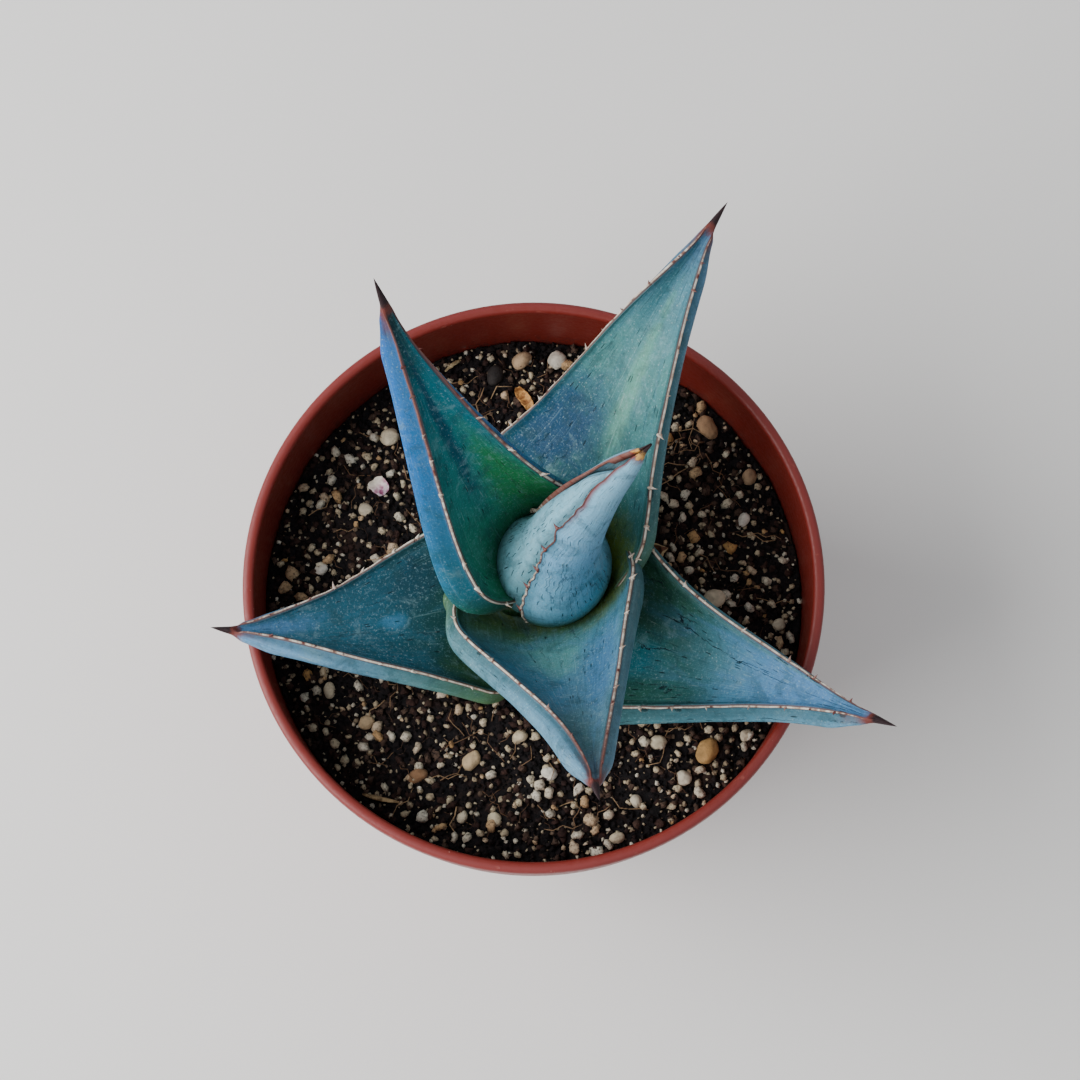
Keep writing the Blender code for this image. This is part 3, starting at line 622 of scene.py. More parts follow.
def makeLeaf(name, leaf, form):
    tau = np.concatenate([[-leaf["sunk"] / leaf["length"]],
                          np.linspace(0.0, 0.90, form["steps"] - 40), np.linspace(0.902, 0.9995, 40)])
    place, side, up, along = leafAxis(leaf, tau)
    half, fold, thick = leafShape(leaf, tau)
    n = len(tau)
    inner = np.sin(np.linspace(1, -1, form["inner"]) * math.pi / 2)
    outer = np.sin(np.linspace(-1, 1, form["outer"]) * math.pi / 2)
    radius = half / np.sin(fold)
    close = np.clip(half / (2.2 * spineRadius), 0.15, 1.0)
    rim = form["rimHeight"] * close
    waveLeft = form["rimWave"] * wobble(leaf["seed"], tau, 26) * close
    waveRight = form["rimWave"] * wobble(leaf["seed"] + 1, tau, 26) * close
    columns = []
    across = []
    edge = []
    back = []

    def put(x, y, u, isEdge, isBack):
        columns.append(np.stack([x, y], axis=1))
        across.append(u)
        edge.append(isEdge)
        back.append(isBack)

    def face(u):
        turn = fold * u
        dip = form["ripple"] * wobble(leaf["seed"] + 5 + u, tau, 7) * (1 - u ** 2) * close
        lift = 0.35 * close * ease(abs(u), 0.9, 1.0)
        r = radius - dip - lift
        put(r * np.sin(turn), radius - r * np.cos(turn), u, 0.0, 0.0)

    def margin(sign, wave):
        # rounded horny rim, standing on from the end of the leaf's hollow face
        outward = np.stack([sign * np.cos(fold), np.sin(fold)], axis=1)
        away = np.stack([sign * np.sin(fold), -np.cos(fold)], axis=1)
        foot = np.stack([sign * radius * np.sin(fold), radius * (1 - np.cos(fold))], axis=1)
        wide = edgeThickness * close
        spots = [(0.0, -0.06), (0.7, 0.02), (1.0, 0.35), (0.7, 0.68), (0.0, 0.78)]
        if sign > 0:
            spots = spots[::-1]
        for h, w in spots:
            spot = foot + outward * ((rim + wave) * h)[:, None] + away * (wide * w)[:, None]
            put(spot[:, 0], spot[:, 1], sign, 0.35 + 0.65 * h ** 2, 0.5)

    for u in inner[1:-1]:
        face(u)
    margin(-1, waveLeft)
    for u in outer[1:-1]:
        turn = fold * u + math.radians(leaf["keel"]) * (1 - u * u) * np.minimum(1.0, fold)
        square = leaf["backRight"] if u > 0 else leaf["backLeft"]
        square = 2.0 + (square - 2.0) * ease(tau, 0.0, 0.25)
        off = edgeThickness * close + (thick - edgeThickness * close) * (1 - abs(u) ** square) ** 0.6
        off = off + form["ripple"] * wobble(leaf["seed"] + 9 + u, tau, 9) * (1 - u ** 2) * close
        r = radius + off
        put(r * np.sin(turn), radius - r * np.cos(turn), u, 0.0, 1.0)
    margin(1, waveRight)

    flat = np.stack(columns, axis=1)
    count = flat.shape[1]
    # towards the tip every ring turns into the round needle
    angle = np.zeros(count)
    nin = form["inner"] - 2
    angle[:nin] = np.linspace(0.12, 0.88, nin) * math.pi
    angle[nin:nin + 5] = np.linspace(0.91, 1.09, 5) * math.pi
    nout = form["outer"] - 2
    angle[nin + 5:nin + 5 + nout] = np.linspace(1.12, 1.88, nout) * math.pi
    angle[nin + 5 + nout:] = np.linspace(1.91, 2.09, 5) * math.pi
    needle = spineRadius * np.clip((1 - tau) / (1 - spineStart), 0.02, 1.6) ** 0.85
    circle = np.stack([needle[:, None] * np.cos(angle), needle[:, None] * np.sin(angle)], axis=2)
    turnRound = ease(tau, spineStart - 0.035, spineStart + 0.012)[:, None, None]
    flat = flat * (1 - turnRound) + circle * turnRound
    rings = place[:, None, :] + side[:, None, :] * flat[:, :, 0:1] + up[:, None, :] * flat[:, :, 1:2]
    ones = np.ones((n, count))
    marks = {
        "along": ones * tau[:, None], "across": ones * np.array(across), "edge": ones * np.array(edge),
        "back": ones * np.array(back)}
    return ringMesh(name, rings, marks)


def toothFeet(leaf, teeth):
    # where the teeth of one leaf stand, which way they lean, and how big they are
    chance = random.Random(leaf["seed"])
    feet, lean, size, tone = [], [], [], []
    for sign in (-1, 1):
        tau = teeth["first"] + chance.uniform(0, 0.05)
        while tau < teeth["last"]:
            t = np.array([tau])
            place, side, up, along = leafAxis(leaf, t)
            half, fold, thick = leafShape(leaf, t)
            radius = half / np.sin(fold)
            x = sign * radius * np.sin(fold)
            y = radius * (1 - np.cos(fold))
            foot = place + side * x[:, None] + up * y[:, None]
            outward = side * (sign * np.cos(fold))[:, None] + up * np.sin(fold)[:, None]
            away = side * (sign * np.sin(fold))[:, None] - up * np.cos(fold)[:, None]
            foot = foot + away * edgeThickness * 0.35 + outward * 0.25
            tip = outward + along * chance.uniform(-0.15, 0.6) + away * chance.uniform(-0.3, 0.4)
            feet.append(foot[0])
            lean.append(tip[0] / np.linalg.norm(tip[0]))
            size.append(chance.uniform(0.5, 1.15) * (1.0 - 0.35 * tau))
            tone.append(tau)
            tau += teeth["pitch"] / leaf["length"] * chance.uniform(1 - teeth["jitter"], 1 + teeth["jitter"])
    return feet, lean, size, tone


def makeTeeth(name, teeth, feet, lean, size, tone):
    mesh = bpy.data.meshes.new("toothFeet")
    mesh.from_pydata((np.array(feet) * mm).tolist(), [], [])
    mesh.attributes.new("lean", "FLOAT_VECTOR", "POINT").data.foreach_set("vector", np.array(lean, np.float32).ravel())
    mesh.attributes.new("grow", "FLOAT", "POINT").data.foreach_set("value", np.array(size, np.float32))
    mesh.attributes.new("tone", "FLOAT", "POINT").data.foreach_set("value", np.array(tone, np.float32))
    feetObject = bpy.data.objects.new("toothFeet", mesh)
    bpy.context.collection.objects.link(feetObject)
    # one tooth: a slightly hooked cone, wide at the foot
    rings = []
    for t in np.linspace(0, 1, 6):
        r = teeth["width"] * (1 - t) ** 1.15 * (0.5 + 0.12 * (1 - t)) + 0.02
        turns = np.linspace(0, 2 * math.pi, 8, endpoint=False)
        bend = 0.6 * t * t
        rings.append(np.c_[r * np.cos(turns) + bend, 0.62 * r * np.sin(turns),
                           np.full(8, t * teeth["height"] - 0.25)])
    tooth = ringMesh("toothShape", np.array(rings))
    tree, start, end = newTree("toothRow", [("Tooth", "Object", None), ("Size", "Float", 1.0),
                                            ("Finish", "Material", None)])
    shape = plug(tree, "GeometryNodeObjectInfo", [(0, start["Tooth"])])
    leanMark = plug(tree, "GeometryNodeInputNamedAttribute", [(0, "lean")], data_type="FLOAT_VECTOR")
    growMark = plug(tree, "GeometryNodeInputNamedAttribute", [(0, "grow")], data_type="FLOAT")
    scale = plug(tree, "ShaderNodeMath", [(0, growMark.outputs[0]), (1, start["Size"])], operation="MULTIPLY")
    face = plug(tree, "FunctionNodeAlignRotationToVector", [(2, leanMark.outputs[0])], axis="Z")
    rows = plug(tree, "GeometryNodeInstanceOnPoints",
                [(0, start["Geometry"]), (2, shape.outputs["Geometry"]), (5, face.outputs[0]),
                 (6, scale.outputs[0])])
    endTree(tree, rows, start, end)
    result = runTree(feetObject, tree, {"Tooth": tooth, "Size": 1.0}, name)
    dropHelpers(feetObject, tooth)
    return result


leafLooks = {
    "leaf_left": dict(
        face=[(0.0, rgb(37, 125, 48)), (0.2, rgb(17, 124, 95)), (0.45, rgb(4, 123, 120)),
              (0.7, rgb(4, 105, 119)),
              (0.93, rgb(4, 30, 38))],
        rear=[(0.0, rgb(30, 103, 45)), (0.14, rgb(34, 104, 80)), (0.3, rgb(32, 101, 139)),
              (0.5, rgb(30, 104, 170)),
              (0.93, rgb(27, 98, 173))],
        patches=[(0.34, 0.5, 0.24, 0.55, rgb(34, 122, 64), 0.95),
                 (0.68, 0.75, 0.28, 0.4, rgb(13, 90, 107), 0.75),
                 (0.62, -0.2, 0.32, 0.2, rgb(4, 60, 83), 0.85),
                 (0.12, -0.2, 0.12, 0.5, rgb(26, 97, 72), 0.6)],
        rearPatches=[(0.05, -0.9, 0.07, 0.7, rgb(148, 128, 86), 0.9)],
        bloom=rgb(92, 146, 142), bloomAmount=0.22, edgeWarm=(0.35, 0.62), shift=1.0),
    "leaf_back": dict(
        face=[(0.0, rgb(72, 108, 52)), (0.14, rgb(56, 104, 84)), (0.3, rgb(58, 110, 110)),
              (0.55, rgb(74, 126, 124)),
              (0.8, rgb(74, 122, 138)), (0.93, rgb(88, 130, 166))],
        rear=[(0.0, rgb(98, 122, 66)), (0.25, rgb(72, 114, 112)), (0.6, rgb(76, 120, 140)),
              (0.93, rgb(88, 130, 168))],
        patches=[(0.28, -0.65, 0.2, 0.72, rgb(22, 64, 96), 0.95),
                 (0.5, 0.12, 0.26, 0.2, rgb(102, 158, 138), 0.75),
                 (0.07, 0.6, 0.13, 0.5, rgb(118, 134, 44), 0.85),
                 (0.78, -0.4, 0.14, 0.3, rgb(54, 108, 118), 0.75)],
        bloom=rgb(52, 102, 122), bloomAmount=0.3, edgeWarm=(0.78, 0.97), shift=9.0),
    "leaf_west": dict(
        face=[(0.0, rgb(48, 74, 32)), (0.2, rgb(30, 68, 58)), (0.45, rgb(34, 78, 94)),
              (0.7, rgb(46, 90, 108)),
              (0.93, rgb(76, 118, 144))],
        rear=[(0.0, rgb(128, 148, 50)), (0.12, rgb(110, 146, 74)), (0.3, rgb(90, 134, 114)),
              (0.55, rgb(102, 148, 172)),
              (0.93, rgb(96, 138, 178))],
        patches=[(0.42, 0.0, 0.05, 0.15, rgb(70, 128, 164), 0.6),
                 (0.82, 0.35, 0.16, 0.4, rgb(76, 122, 166), 0.75),
                 (0.3, 0.5, 0.14, 0.4, rgb(26, 62, 80), 0.65),
                 (0.18, -0.7, 0.14, 0.35, rgb(62, 96, 48), 0.7)],
        bloom=rgb(56, 108, 134), bloomAmount=0.26, edgeWarm=(0.7, 0.95), shift=17.0),
    "leaf_east": dict(
        face=[(0.0, rgb(44, 50, 30)), (0.15, rgb(42, 80, 62)), (0.3, rgb(58, 110, 104)),
              (0.48, rgb(74, 122, 144)),
              (0.7, rgb(78, 124, 166)), (0.93, rgb(78, 124, 170))],
        rear=[(0.0, rgb(66, 104, 94)), (0.4, rgb(78, 126, 138)), (0.93, rgb(88, 134, 162))],
        patches=[(0.2, 0.35, 0.1, 0.34, rgb(26, 108, 120), 0.85), (0.28, 0.8, 0.2, 0.3, rgb(40, 86, 72), 0.7),
                 (0.24, -0.7, 0.2, 0.35, rgb(48, 90, 64), 0.75),
                 (0.5, -0.85, 0.4, 0.14, rgb(88, 126, 120), 0.6)],
        bloom=rgb(88, 136, 182), bloomAmount=0.28, edgeWarm=(0.72, 0.95), crackle=1.0, dashShare=0.1,
        shift=25.0),
    "leaf_front": dict(
        face=[(0.0, rgb(88, 106, 50)), (0.1, rgb(74, 112, 78)), (0.22, rgb(68, 116, 130)),
              (0.5, rgb(74, 114, 138)),
              (0.75, rgb(78, 112, 124)), (0.93, rgb(112, 118, 130))],
        rear=[(0.0, rgb(94, 126, 84)), (0.2, rgb(84, 124, 132)), (0.7, rgb(92, 134, 158)),
              (0.93, rgb(92, 128, 152))],
        patches=[(0.27, 0.1, 0.13, 0.3, rgb(100, 154, 142), 0.6),
                 (0.42, -0.5, 0.22, 0.3, rgb(62, 104, 144), 0.7),
                 (0.06, -0.6, 0.12, 0.5, rgb(112, 128, 50), 0.8),
                 (0.7, 0.1, 0.13, 0.5, rgb(78, 112, 112), 0.6)],
        bloom=rgb(82, 128, 168), bloomAmount=0.3, edgeWarm=(0.45, 0.85), shift=33.0),
}
spineLook = dict(dark=rgb(40, 24, 28), warm=rgb(104, 50, 44), rust=rgb(96, 62, 54), pale=rgb(214, 206, 192),
                 tan=rgb(176, 152, 132))


def leafSkin(name, tones, needle=True):
    look = Finish(name, 0.5, Specular_IOR_Level=0.2)
    spot = look.stretch(shift=(tones["shift"], 0.0, 0.0))
    along = look.mark("along")
    across = look.mark("across")
    edge = look.mark("edge")
    back = look.mark("back")
    wide = look.cloud(spot, 0.07, 3.0, 0.5, 0.4)
    ragged = look.cloud(spot, 0.3, 5.0, 0.65)
    drift = look.plus(along, look.times(look.minus(wide, 0.5), 0.18))
    face = look.ramp(drift, tones["face"])
    rear = look.ramp(drift, tones["rear"])
    # waxy bloom in broad soft patches, rubbed along the leaf
    lane = look.join(look.times(across, 3.0), look.times(along, 4.5), tones["shift"])
    patch = look.step(look.cloud(lane, 1.0, 4.0, 0.6, 0.8), 0.46, 0.66)
    face = look.mix(look.times(patch, tones["bloomAmount"]), face, tones["bloom"])
    for side in ("patches", "rearPatches"):
        for atAlong, atAcross, reachAlong, reachAcross, tone, strength in tones.get(side, []):
            offLong = look.calc("DIVIDE", look.minus(along, atAlong), reachAlong)
            offWide = look.calc("DIVIDE", look.minus(across, atAcross), reachAcross)
            far = look.calc("SQRT", look.plus(look.times(offLong, offLong), look.times(offWide, offWide)))
            far = look.plus(far, look.times(look.minus(ragged, 0.5), 1.3))
            if side == "patches":
                face = look.mix(look.step(far, 1.3, 0.3, 0.0, strength), face, tone)
            else:
                rear = look.mix(look.step(far, 1.3, 0.3, 0.0, strength), rear, tone)
    color = look.mix(look.step(back, 0.4, 0.6), face, rear)
    # fine mottling, stipple and lengthwise streaks
    mottle = look.cloud(spot, 0.75, 5.0, 0.62)
    color = look.mix(look.step(mottle, 0.35, 0.7, 0.0, 0.45), color, rgb(168, 200, 206), "SOFT_LIGHT")
    stipple = look.cloud(spot, 1.9, 4.0, 0.75)
    color = look.veil(color, stipple, 0.54, 0.72, 0.42, rgb(18, 48, 58))
    color = look.veil(color, stipple, 0.46, 0.3, 0.4, rgb(150, 190, 200))
    stain = look.cloud(spot, 0.19, 5.0, 0.68, 0.5)
    color = look.veil(color, stain, 0.5, 0.36, 0.38, rgb(24, 62, 66))
    color = look.veil(color, stain, 0.56, 0.72, 0.3, rgb(140, 178, 182))
    streakLane = look.join(look.times(across, 34.0), look.times(along, 5.0), tones["shift"])
    streak = look.cloud(streakLane, 1.0, 3.0, 0.6)
    color = look.veil(color, streak, 0.5, 0.72, 0.26, rgb(22, 60, 68))
    color = look.veil(color, streak, 0.4, 0.26, 0.2, rgb(160, 200, 204))
    rub = look.times(look.step(streak, 0.52, 0.7), look.step(look.cloud(lane, 2.3, 3.0, 0.6), 0.6, 0.72))
    color = look.mix(look.times(rub, 0.5), color, rgb(188, 214, 206))
    # short dark scars along the leaf
    dashLane = look.join(look.times(across, tones.get("dashWide", 22.0)),
                         look.times(along, tones.get("dashLong", 20.0)))
    dashCell = look.cells(dashLane, 1.0, flat=True)
    pick = look.add("ShaderNodeSeparateXYZ")
    look.feed(pick.inputs[0], dashCell.outputs["Color"])
    chosen = look.step(pick.outputs[0], 1.0 - tones.get("dashShare", 0.06),
                       1.02 - tones.get("dashShare", 0.06))
    scar = look.times(look.step(dashCell.outputs["Distance"], 0.22, 0.14), chosen)
    color = look.mix(look.times(scar, 0.8), color, rgb(14, 38, 46))
    # thin pressed lines left by the leaves that once lay against this one
    crackle = tones.get("crackle", 0.35)
    pressLane = look.join(look.plus(look.times(across, tones.get("pressWide", 4.2)), look.times(ragged, 0.9)),
                          look.plus(look.times(along, 3.2), look.times(mottle, 0.35)))
    seams = look.cells(pressLane, 1.0, "DISTANCE_TO_EDGE", flat=True).outputs["Distance"]
    part = look.step(look.cloud(lane, 1.7, 3.0), 0.5, 0.62)
    press = look.times(look.times(look.step(seams, 0.034, 0.01), part), crackle)
    color = look.mix(press, color, rgb(16, 40, 50))
    # pale specks
    dots = look.cells(spot, 0.9)
    dotMask = look.times(look.step(dots.outputs["Distance"], 0.2, 0.08),
                        look.step(look.cloud(spot, 0.23, 2.0), 0.42, 0.6))
    color = look.mix(look.times(dotMask, 0.25), color, rgb(190, 212, 212))
    color = look.mix(look.step(look.cloud(spot, 1.3, 2.0), 0.68, 0.78, 0.0, 0.38), color, rgb(168, 198, 202))
    # painted shade: a darker band along both edges of the leaf, next to the rim
    color = look.mix(look.step(look.calc("ABSOLUTE", across), 0.86, 1.0, 0.0, 0.45), color, rgb(26, 62, 64))
    # red-brown flush beside the rim near the tip
    inset = look.step(look.calc("ABSOLUTE", across), tones.get("flushWide", 0.78), 1.0)
    flush = look.times(look.step(look.plus(along, look.times(ragged, 0.1)),
                                 *tones.get("flush", (0.87, 0.99))), inset)
    color = look.mix(look.times(flush, 0.85), color, tones.get("flushTone", spineLook["warm"]))
    # horny rim, pale low down and warm towards the tip
    low, high = tones["edgeWarm"]
    rimNoise = look.cloud(look.join(look.times(along, 46.0), across, tones["shift"]), 1.0, 3.0)
    warmth = look.step(look.plus(along, look.times(look.minus(rimNoise, 0.5), 0.7)), low, high)
    rim = look.mix(look.step(rimNoise, 0.4, 0.6), spineLook["pale"], spineLook["tan"])
    rim = look.mix(look.step(rimNoise, 0.57, 0.64), rim, spineLook["rust"])
    rim = look.mix(look.times(warmth, 0.9), rim, spineLook["warm"])
    color = look.mix(look.step(edge, 0.12, 0.4, 0.0, 0.75), color, spineLook["rust"])
    color = look.mix(look.step(edge, 0.55, 0.85), color, rim)
    rough = look.plus(look.step(patch, 0.0, 1.0, 0.44, 0.56), look.times(stipple, 0.1))
    if needle:
        tipStart = look.plus(along, look.times(look.minus(mottle, 0.5), 0.05))
        start = tones.get("spine", 0.925)
        color = look.mix(look.step(tipStart, start - 0.03, start), color,
                         tones.get("flushTone", spineLook["warm"]))
        if "band" in tones:
            color = look.mix(look.step(tipStart, start - 0.012, start - 0.004), color, tones["band"])
        color = look.mix(look.step(tipStart, start, start + 0.02), color, spineLook["dark"])
    height = look.plus(look.times(mottle, 0.5), look.times(streak, 0.45))
    height = look.plus(height, look.times(stipple, 0.25))
    height = look.minus(height, look.times(scar, 0.6))
    height = look.minus(height, look.times(press, 0.8))
    return look.done(color, rough, height, 0.00022)


def toothFinish():
    look = Finish("toothHorn", 0.5)
    fine = look.cloud(look.stretch(), 1.4, 3.0)
    tone = look.step(look.mark("tone"), 0.35, 0.85)
    color = look.mix(look.step(fine, 0.4, 0.6), spineLook["pale"], spineLook["tan"])
    color = look.mix(tone, color, spineLook["warm"])
    return look.done(color, 0.5, fine, 0.00005)


for name, leaf in leaves.items():
    piece = makeLeaf(name + "_blade", leaf, leafMesh)
    settle(piece, leafSkin(name + "Skin", leafLooks[name]), name, name)
    print(name, len(piece.data.polygons))
rows = [toothFeet(leaf, toothSizes) for leaf in leaves.values()]
teethPiece = makeTeeth("margin_teeth", toothSizes, *[sum(lists, []) for lists in zip(*rows)])
toothHorn = toothFinish()
settle(teethPiece, toothHorn, "leaf_front")
print("teeth", len(teethPiece.data.polygons))


bud = dict(
    x=3.8, y=2.3, low=89.3, height=63.6, leanX=17.9, leanY=11.6, curveX=2.2, curveY=1.6,
    radius=[(0.0, 11.2), (0.165, 11.9), (0.335, 8.3), (0.48, 7.0), (0.61, 5.8), (0.765, 4.1), (0.88, 2.7),
            (0.93, 1.7),
            (0.955, 0.95), (1.0, 0.25)],
    marginLeft=[(0.0, 240.0), (0.5, 226.0), (1.0, 212.0)],
    marginBack=[(0.0, 112.0), (0.5, 132.0), (1.0, 168.0)],
    innerEnd=0.86, edge=0.7, body=2.2, gap=0.3, around=84, steps=150, rimTurn=5.0, rimJag=4.5)


def budFrame(t):
    centre = np.c_[bud["x"] + bud["leanX"] * t ** bud["curveX"], bud["y"] + bud["leanY"] * t ** bud["curveY"],
                   bud["low"] + bud["height"] * t]
    along = np.c_[bud["leanX"] * bud["curveX"] * t ** (bud["curveX"] - 1),
                  bud["leanY"] * bud["curveY"] * t ** (bud["curveY"] - 1) * ease(t, 0.0, 0.2),
                  np.full(len(t), bud["height"])]
    along /= np.linalg.norm(along, axis=1)[:, None]
    east = np.array([1.0, 0.0, 0.0]) - along * along[:, 0:1]
    east /= np.linalg.norm(east, axis=1)[:, None]
    return centre, east, np.cross(along, east)


def budMargins(t):
    left = curveThrough(t, bud["marginLeft"]) + bud["rimTurn"] * wobble(61, t, 9)
    left = left + bud["rimJag"] * wobble(63, t, 34)
    return left, curveThrough(t, bud["marginBack"]) + bud["rimTurn"] * wobble(67, t, 9)


def budThickness(t, inside):
    scale = np.minimum(1.0, curveThrough(t, bud["radius"]) / 6.0)[:, None]
    return (bud["edge"] + (bud["body"] - bud["edge"]) * ease(inside, 0.0, 60.0)) * scale


def budPlaces(t, turn, radius):
    centre, east, north = budFrame(t)
    turn = np.radians(turn)
    return (centre[:, None, :] + (east[:, None, :] * np.cos(turn)[:, :, None]
                                  + north[:, None, :] * np.sin(turn)[:, :, None]) * radius[:, :, None])


def makeBudOuter():
    t = np.concatenate([np.linspace(0, 0.9, bud["steps"] - 30), np.linspace(0.903, 1.0, 30)])
    left, back = budMargins(t)
    span = (back - left) % 360.0
    full = curveThrough(t, bud["radius"])
    k = 0.5 - 0.5 * np.cos(np.linspace(0, math.pi, bud["around"]))
    turn = left[:, None] + span[:, None] * k[None, :]
    inside = np.minimum(span[:, None] * k, span[:, None] * (1 - k))
    depth = np.minimum(budThickness(t, inside), full[:, None] * 0.45)
    late = t > bud["innerEnd"]
    close = full * (0.45 + 0.45 * ease(t, bud["innerEnd"], bud["innerEnd"] + 0.1))
    depth[late] = close[late, None]
    # the rim stands a little proud of the next leaf
    rimLift = 0.35 * np.minimum(1.0, full / 6.0)[:, None] * (1 - ease(inside, 0.0, 4.5))
    outer = budPlaces(t, turn, full[:, None] + rimLift)
    inner = budPlaces(t, turn[:, ::-1], full[:, None] - depth[:, ::-1])
    rings = np.concatenate([outer, inner], axis=1)
    ones = np.ones(rings.shape[:2])
    around = bud["around"]
    rimMark = 1 - ease(inside, 0.8, 3.6)
    across = 2 * k - 1
    marks = {
        "along": ones * t[:, None],
        "across": np.concatenate([ones[:, :around] * across, ones[:, :around] * across[::-1]], axis=1),
        "edge": np.concatenate([rimMark, rimMark[:, ::-1]], axis=1),
        "back": np.concatenate([ones[:, :around], ones[:, :around] * 0.0], axis=1)}
    return ringMesh("bud_outer_wrap", rings, marks)


def makeBudInner():
    t = np.linspace(0.0, bud["innerEnd"] - 0.01, bud["steps"] - 30)
    left, back = budMargins(t)
    span = ((back - left) % 360.0)[:, None]
    full = curveThrough(t, bud["radius"])[:, None]
    covered = np.linspace(0, 360, 2 * bud["around"], endpoint=False)[None, :] * np.ones((len(t), 1))
    turn = left[:, None] + covered
    inside = np.minimum(covered, span - covered)
    under = full - np.minimum(budThickness(t, inside), full * 0.45) - bud["gap"]
    past = np.minimum(covered - span, 360.0 - covered)
    dip = bud["edge"] * np.minimum(1.0, full / 6.0) + bud["gap"]
    shown = full - dip + (dip - 0.15) * ease(past, 1.0, 22.0)
    radius = np.where(covered <= span, under, shown)
    radius = radius * (1 - ease(t, bud["innerEnd"] - 0.12, bud["innerEnd"]))[:, None] ** 0.5
    rings = budPlaces(t, turn, np.maximum(radius, 0.25))
    ones = np.ones(rings.shape[:2])
    marks = {"along": ones * t[:, None], "across": ones * (covered[0] / 180.0 - 1.0), "edge": ones * 0.0,
             "back": ones}
    return ringMesh("bud_inner_cone", rings, marks)


budLooks = {
    "bud_outer_leaf": dict(
        face=[(0.0, rgb(120, 160, 170)), (0.9, rgb(126, 160, 170))],
        rear=[(0.0, rgb(93, 149, 132)), (0.14, rgb(102, 157, 179)), (0.45, rgb(113, 166, 201)),
              (0.82, rgb(126, 174, 199))],
        bloom=rgb(112, 160, 188), bloomAmount=0.3, edgeWarm=(0.22, 0.5), dashWide=42.0, dashLong=17.0,
        dashShare=0.14,
        crackle=0.5, pressWide=13.0, band=rgb(196, 150, 84), spine=0.952, flush=(0.6, 0.8), flushWide=0.87,
        flushTone=rgb(122, 36, 22), shift=41.0),
    "bud_inner_leaf": dict(
        face=[(0.0, rgb(96, 142, 140)), (0.9, rgb(96, 142, 140))],
        rear=[(0.0, rgb(71, 124, 114)), (0.14, rgb(114, 165, 176)), (0.5, rgb(125, 175, 192)),
              (0.9, rgb(117, 162, 181))],
        bloom=rgb(126, 174, 190), bloomAmount=0.3, edgeWarm=(0.3, 0.6), dashWide=50.0, dashLong=15.0,
        dashShare=0.3,
        crackle=0.3, pressWide=8.0, shift=47.0),
}

budOuter = makeBudOuter()
settle(budOuter, leafSkin("budOuterSkin", budLooks["bud_outer_leaf"]), "bud_outer_leaf", "bud_outer_leaf")
budInner = makeBudInner()
settle(budInner, leafSkin("budInnerSkin", budLooks["bud_inner_leaf"], False), "bud_inner_leaf",
       "bud_inner_leaf")
print("bud", len(budOuter.data.polygons), len(budInner.data.polygons))


def budToothFeet(places):
    t = np.array(places)
    left, back = budMargins(t)
    radius = curveThrough(t, bud["radius"])
    foot = budPlaces(t, left[:, None], radius[:, None] + 0.2)[:, 0]
    ahead = budPlaces(t, left[:, None] - 25.0, radius[:, None] + 1.5)[:, 0] - foot
    lean = ahead / np.linalg.norm(ahead, axis=1)[:, None]
    return list(foot), list(lean), [0.8] * len(t), [0.9] * len(t)


budTeeth = makeTeeth("bud_teeth", toothSizes, *budToothFeet([0.16, 0.27, 0.36, 0.47, 0.58]))
settle(budTeeth, toothHorn, "bud_outer_leaf")


def papery(name, dark, pale):
    look = Finish(name, 0.75, Specular_IOR_Level=0.3)
    spot = look.stretch()
    streak = look.cloud(look.stretch(500, 500, 2200), 0.7, 4.0, 0.6)
    fine = look.cloud(spot, 1.3, 4.0)
    color = look.mix(look.step(streak, 0.35, 0.68), dark, pale)
    color = look.mix(look.step(fine, 0.5, 0.8, 0.0, 0.5), color, tuple(c * 0.5 for c in dark))
    return look.done(color, 0.75, streak, 0.0003)


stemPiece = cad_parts["stem"]
for place in stemPiece.material_slots:
    place.material = papery("stemBark", rgb(70, 62, 34), rgb(120, 118, 66))

dryLeaf = dict(
    azimuth=12.0, sway=0.0, elevBase=40.0, elevTip=18.0, arch=1.0,
    length=19.0, width=11.0, foot=0.9, footEnd=0.2, taper=0.55,
    foldBase=40.0, foldMid=35.0, foldTip=20.0, roll=-8.0, rollMid=0.0, rollTip=0.0,
    reach=8.0, height=7.3, thickBase=1.6, thickTip=0.9,
    backLeft=4.0, backRight=4.0, keel=0.0, sunk=3.0, seed=43)


def dryFinish():
    look = Finish("dryLeafPaper", 0.8)
    streak = look.cloud(look.join(look.times(look.mark("across"), 9.0), look.mark("along"), 3.0), 1.0, 4.0)
    color = look.mix(look.step(streak, 0.35, 0.65), rgb(70, 34, 22), rgb(128, 78, 48))
    border = look.step(look.calc("ABSOLUTE", look.mark("across")), 0.72, 0.95)
    color = look.mix(border, color, rgb(186, 160, 118))
    return look.done(color, 0.8, streak, 0.0003)


dryPiece = makeLeaf("dry_leaf_paper", dryLeaf, dict(leafMesh, steps=90, rimHeight=0.15))
settle(dryPiece, dryFinish(), "dry_leaf_base", "dry_leaf_base")
print("stem and dry leaf base")


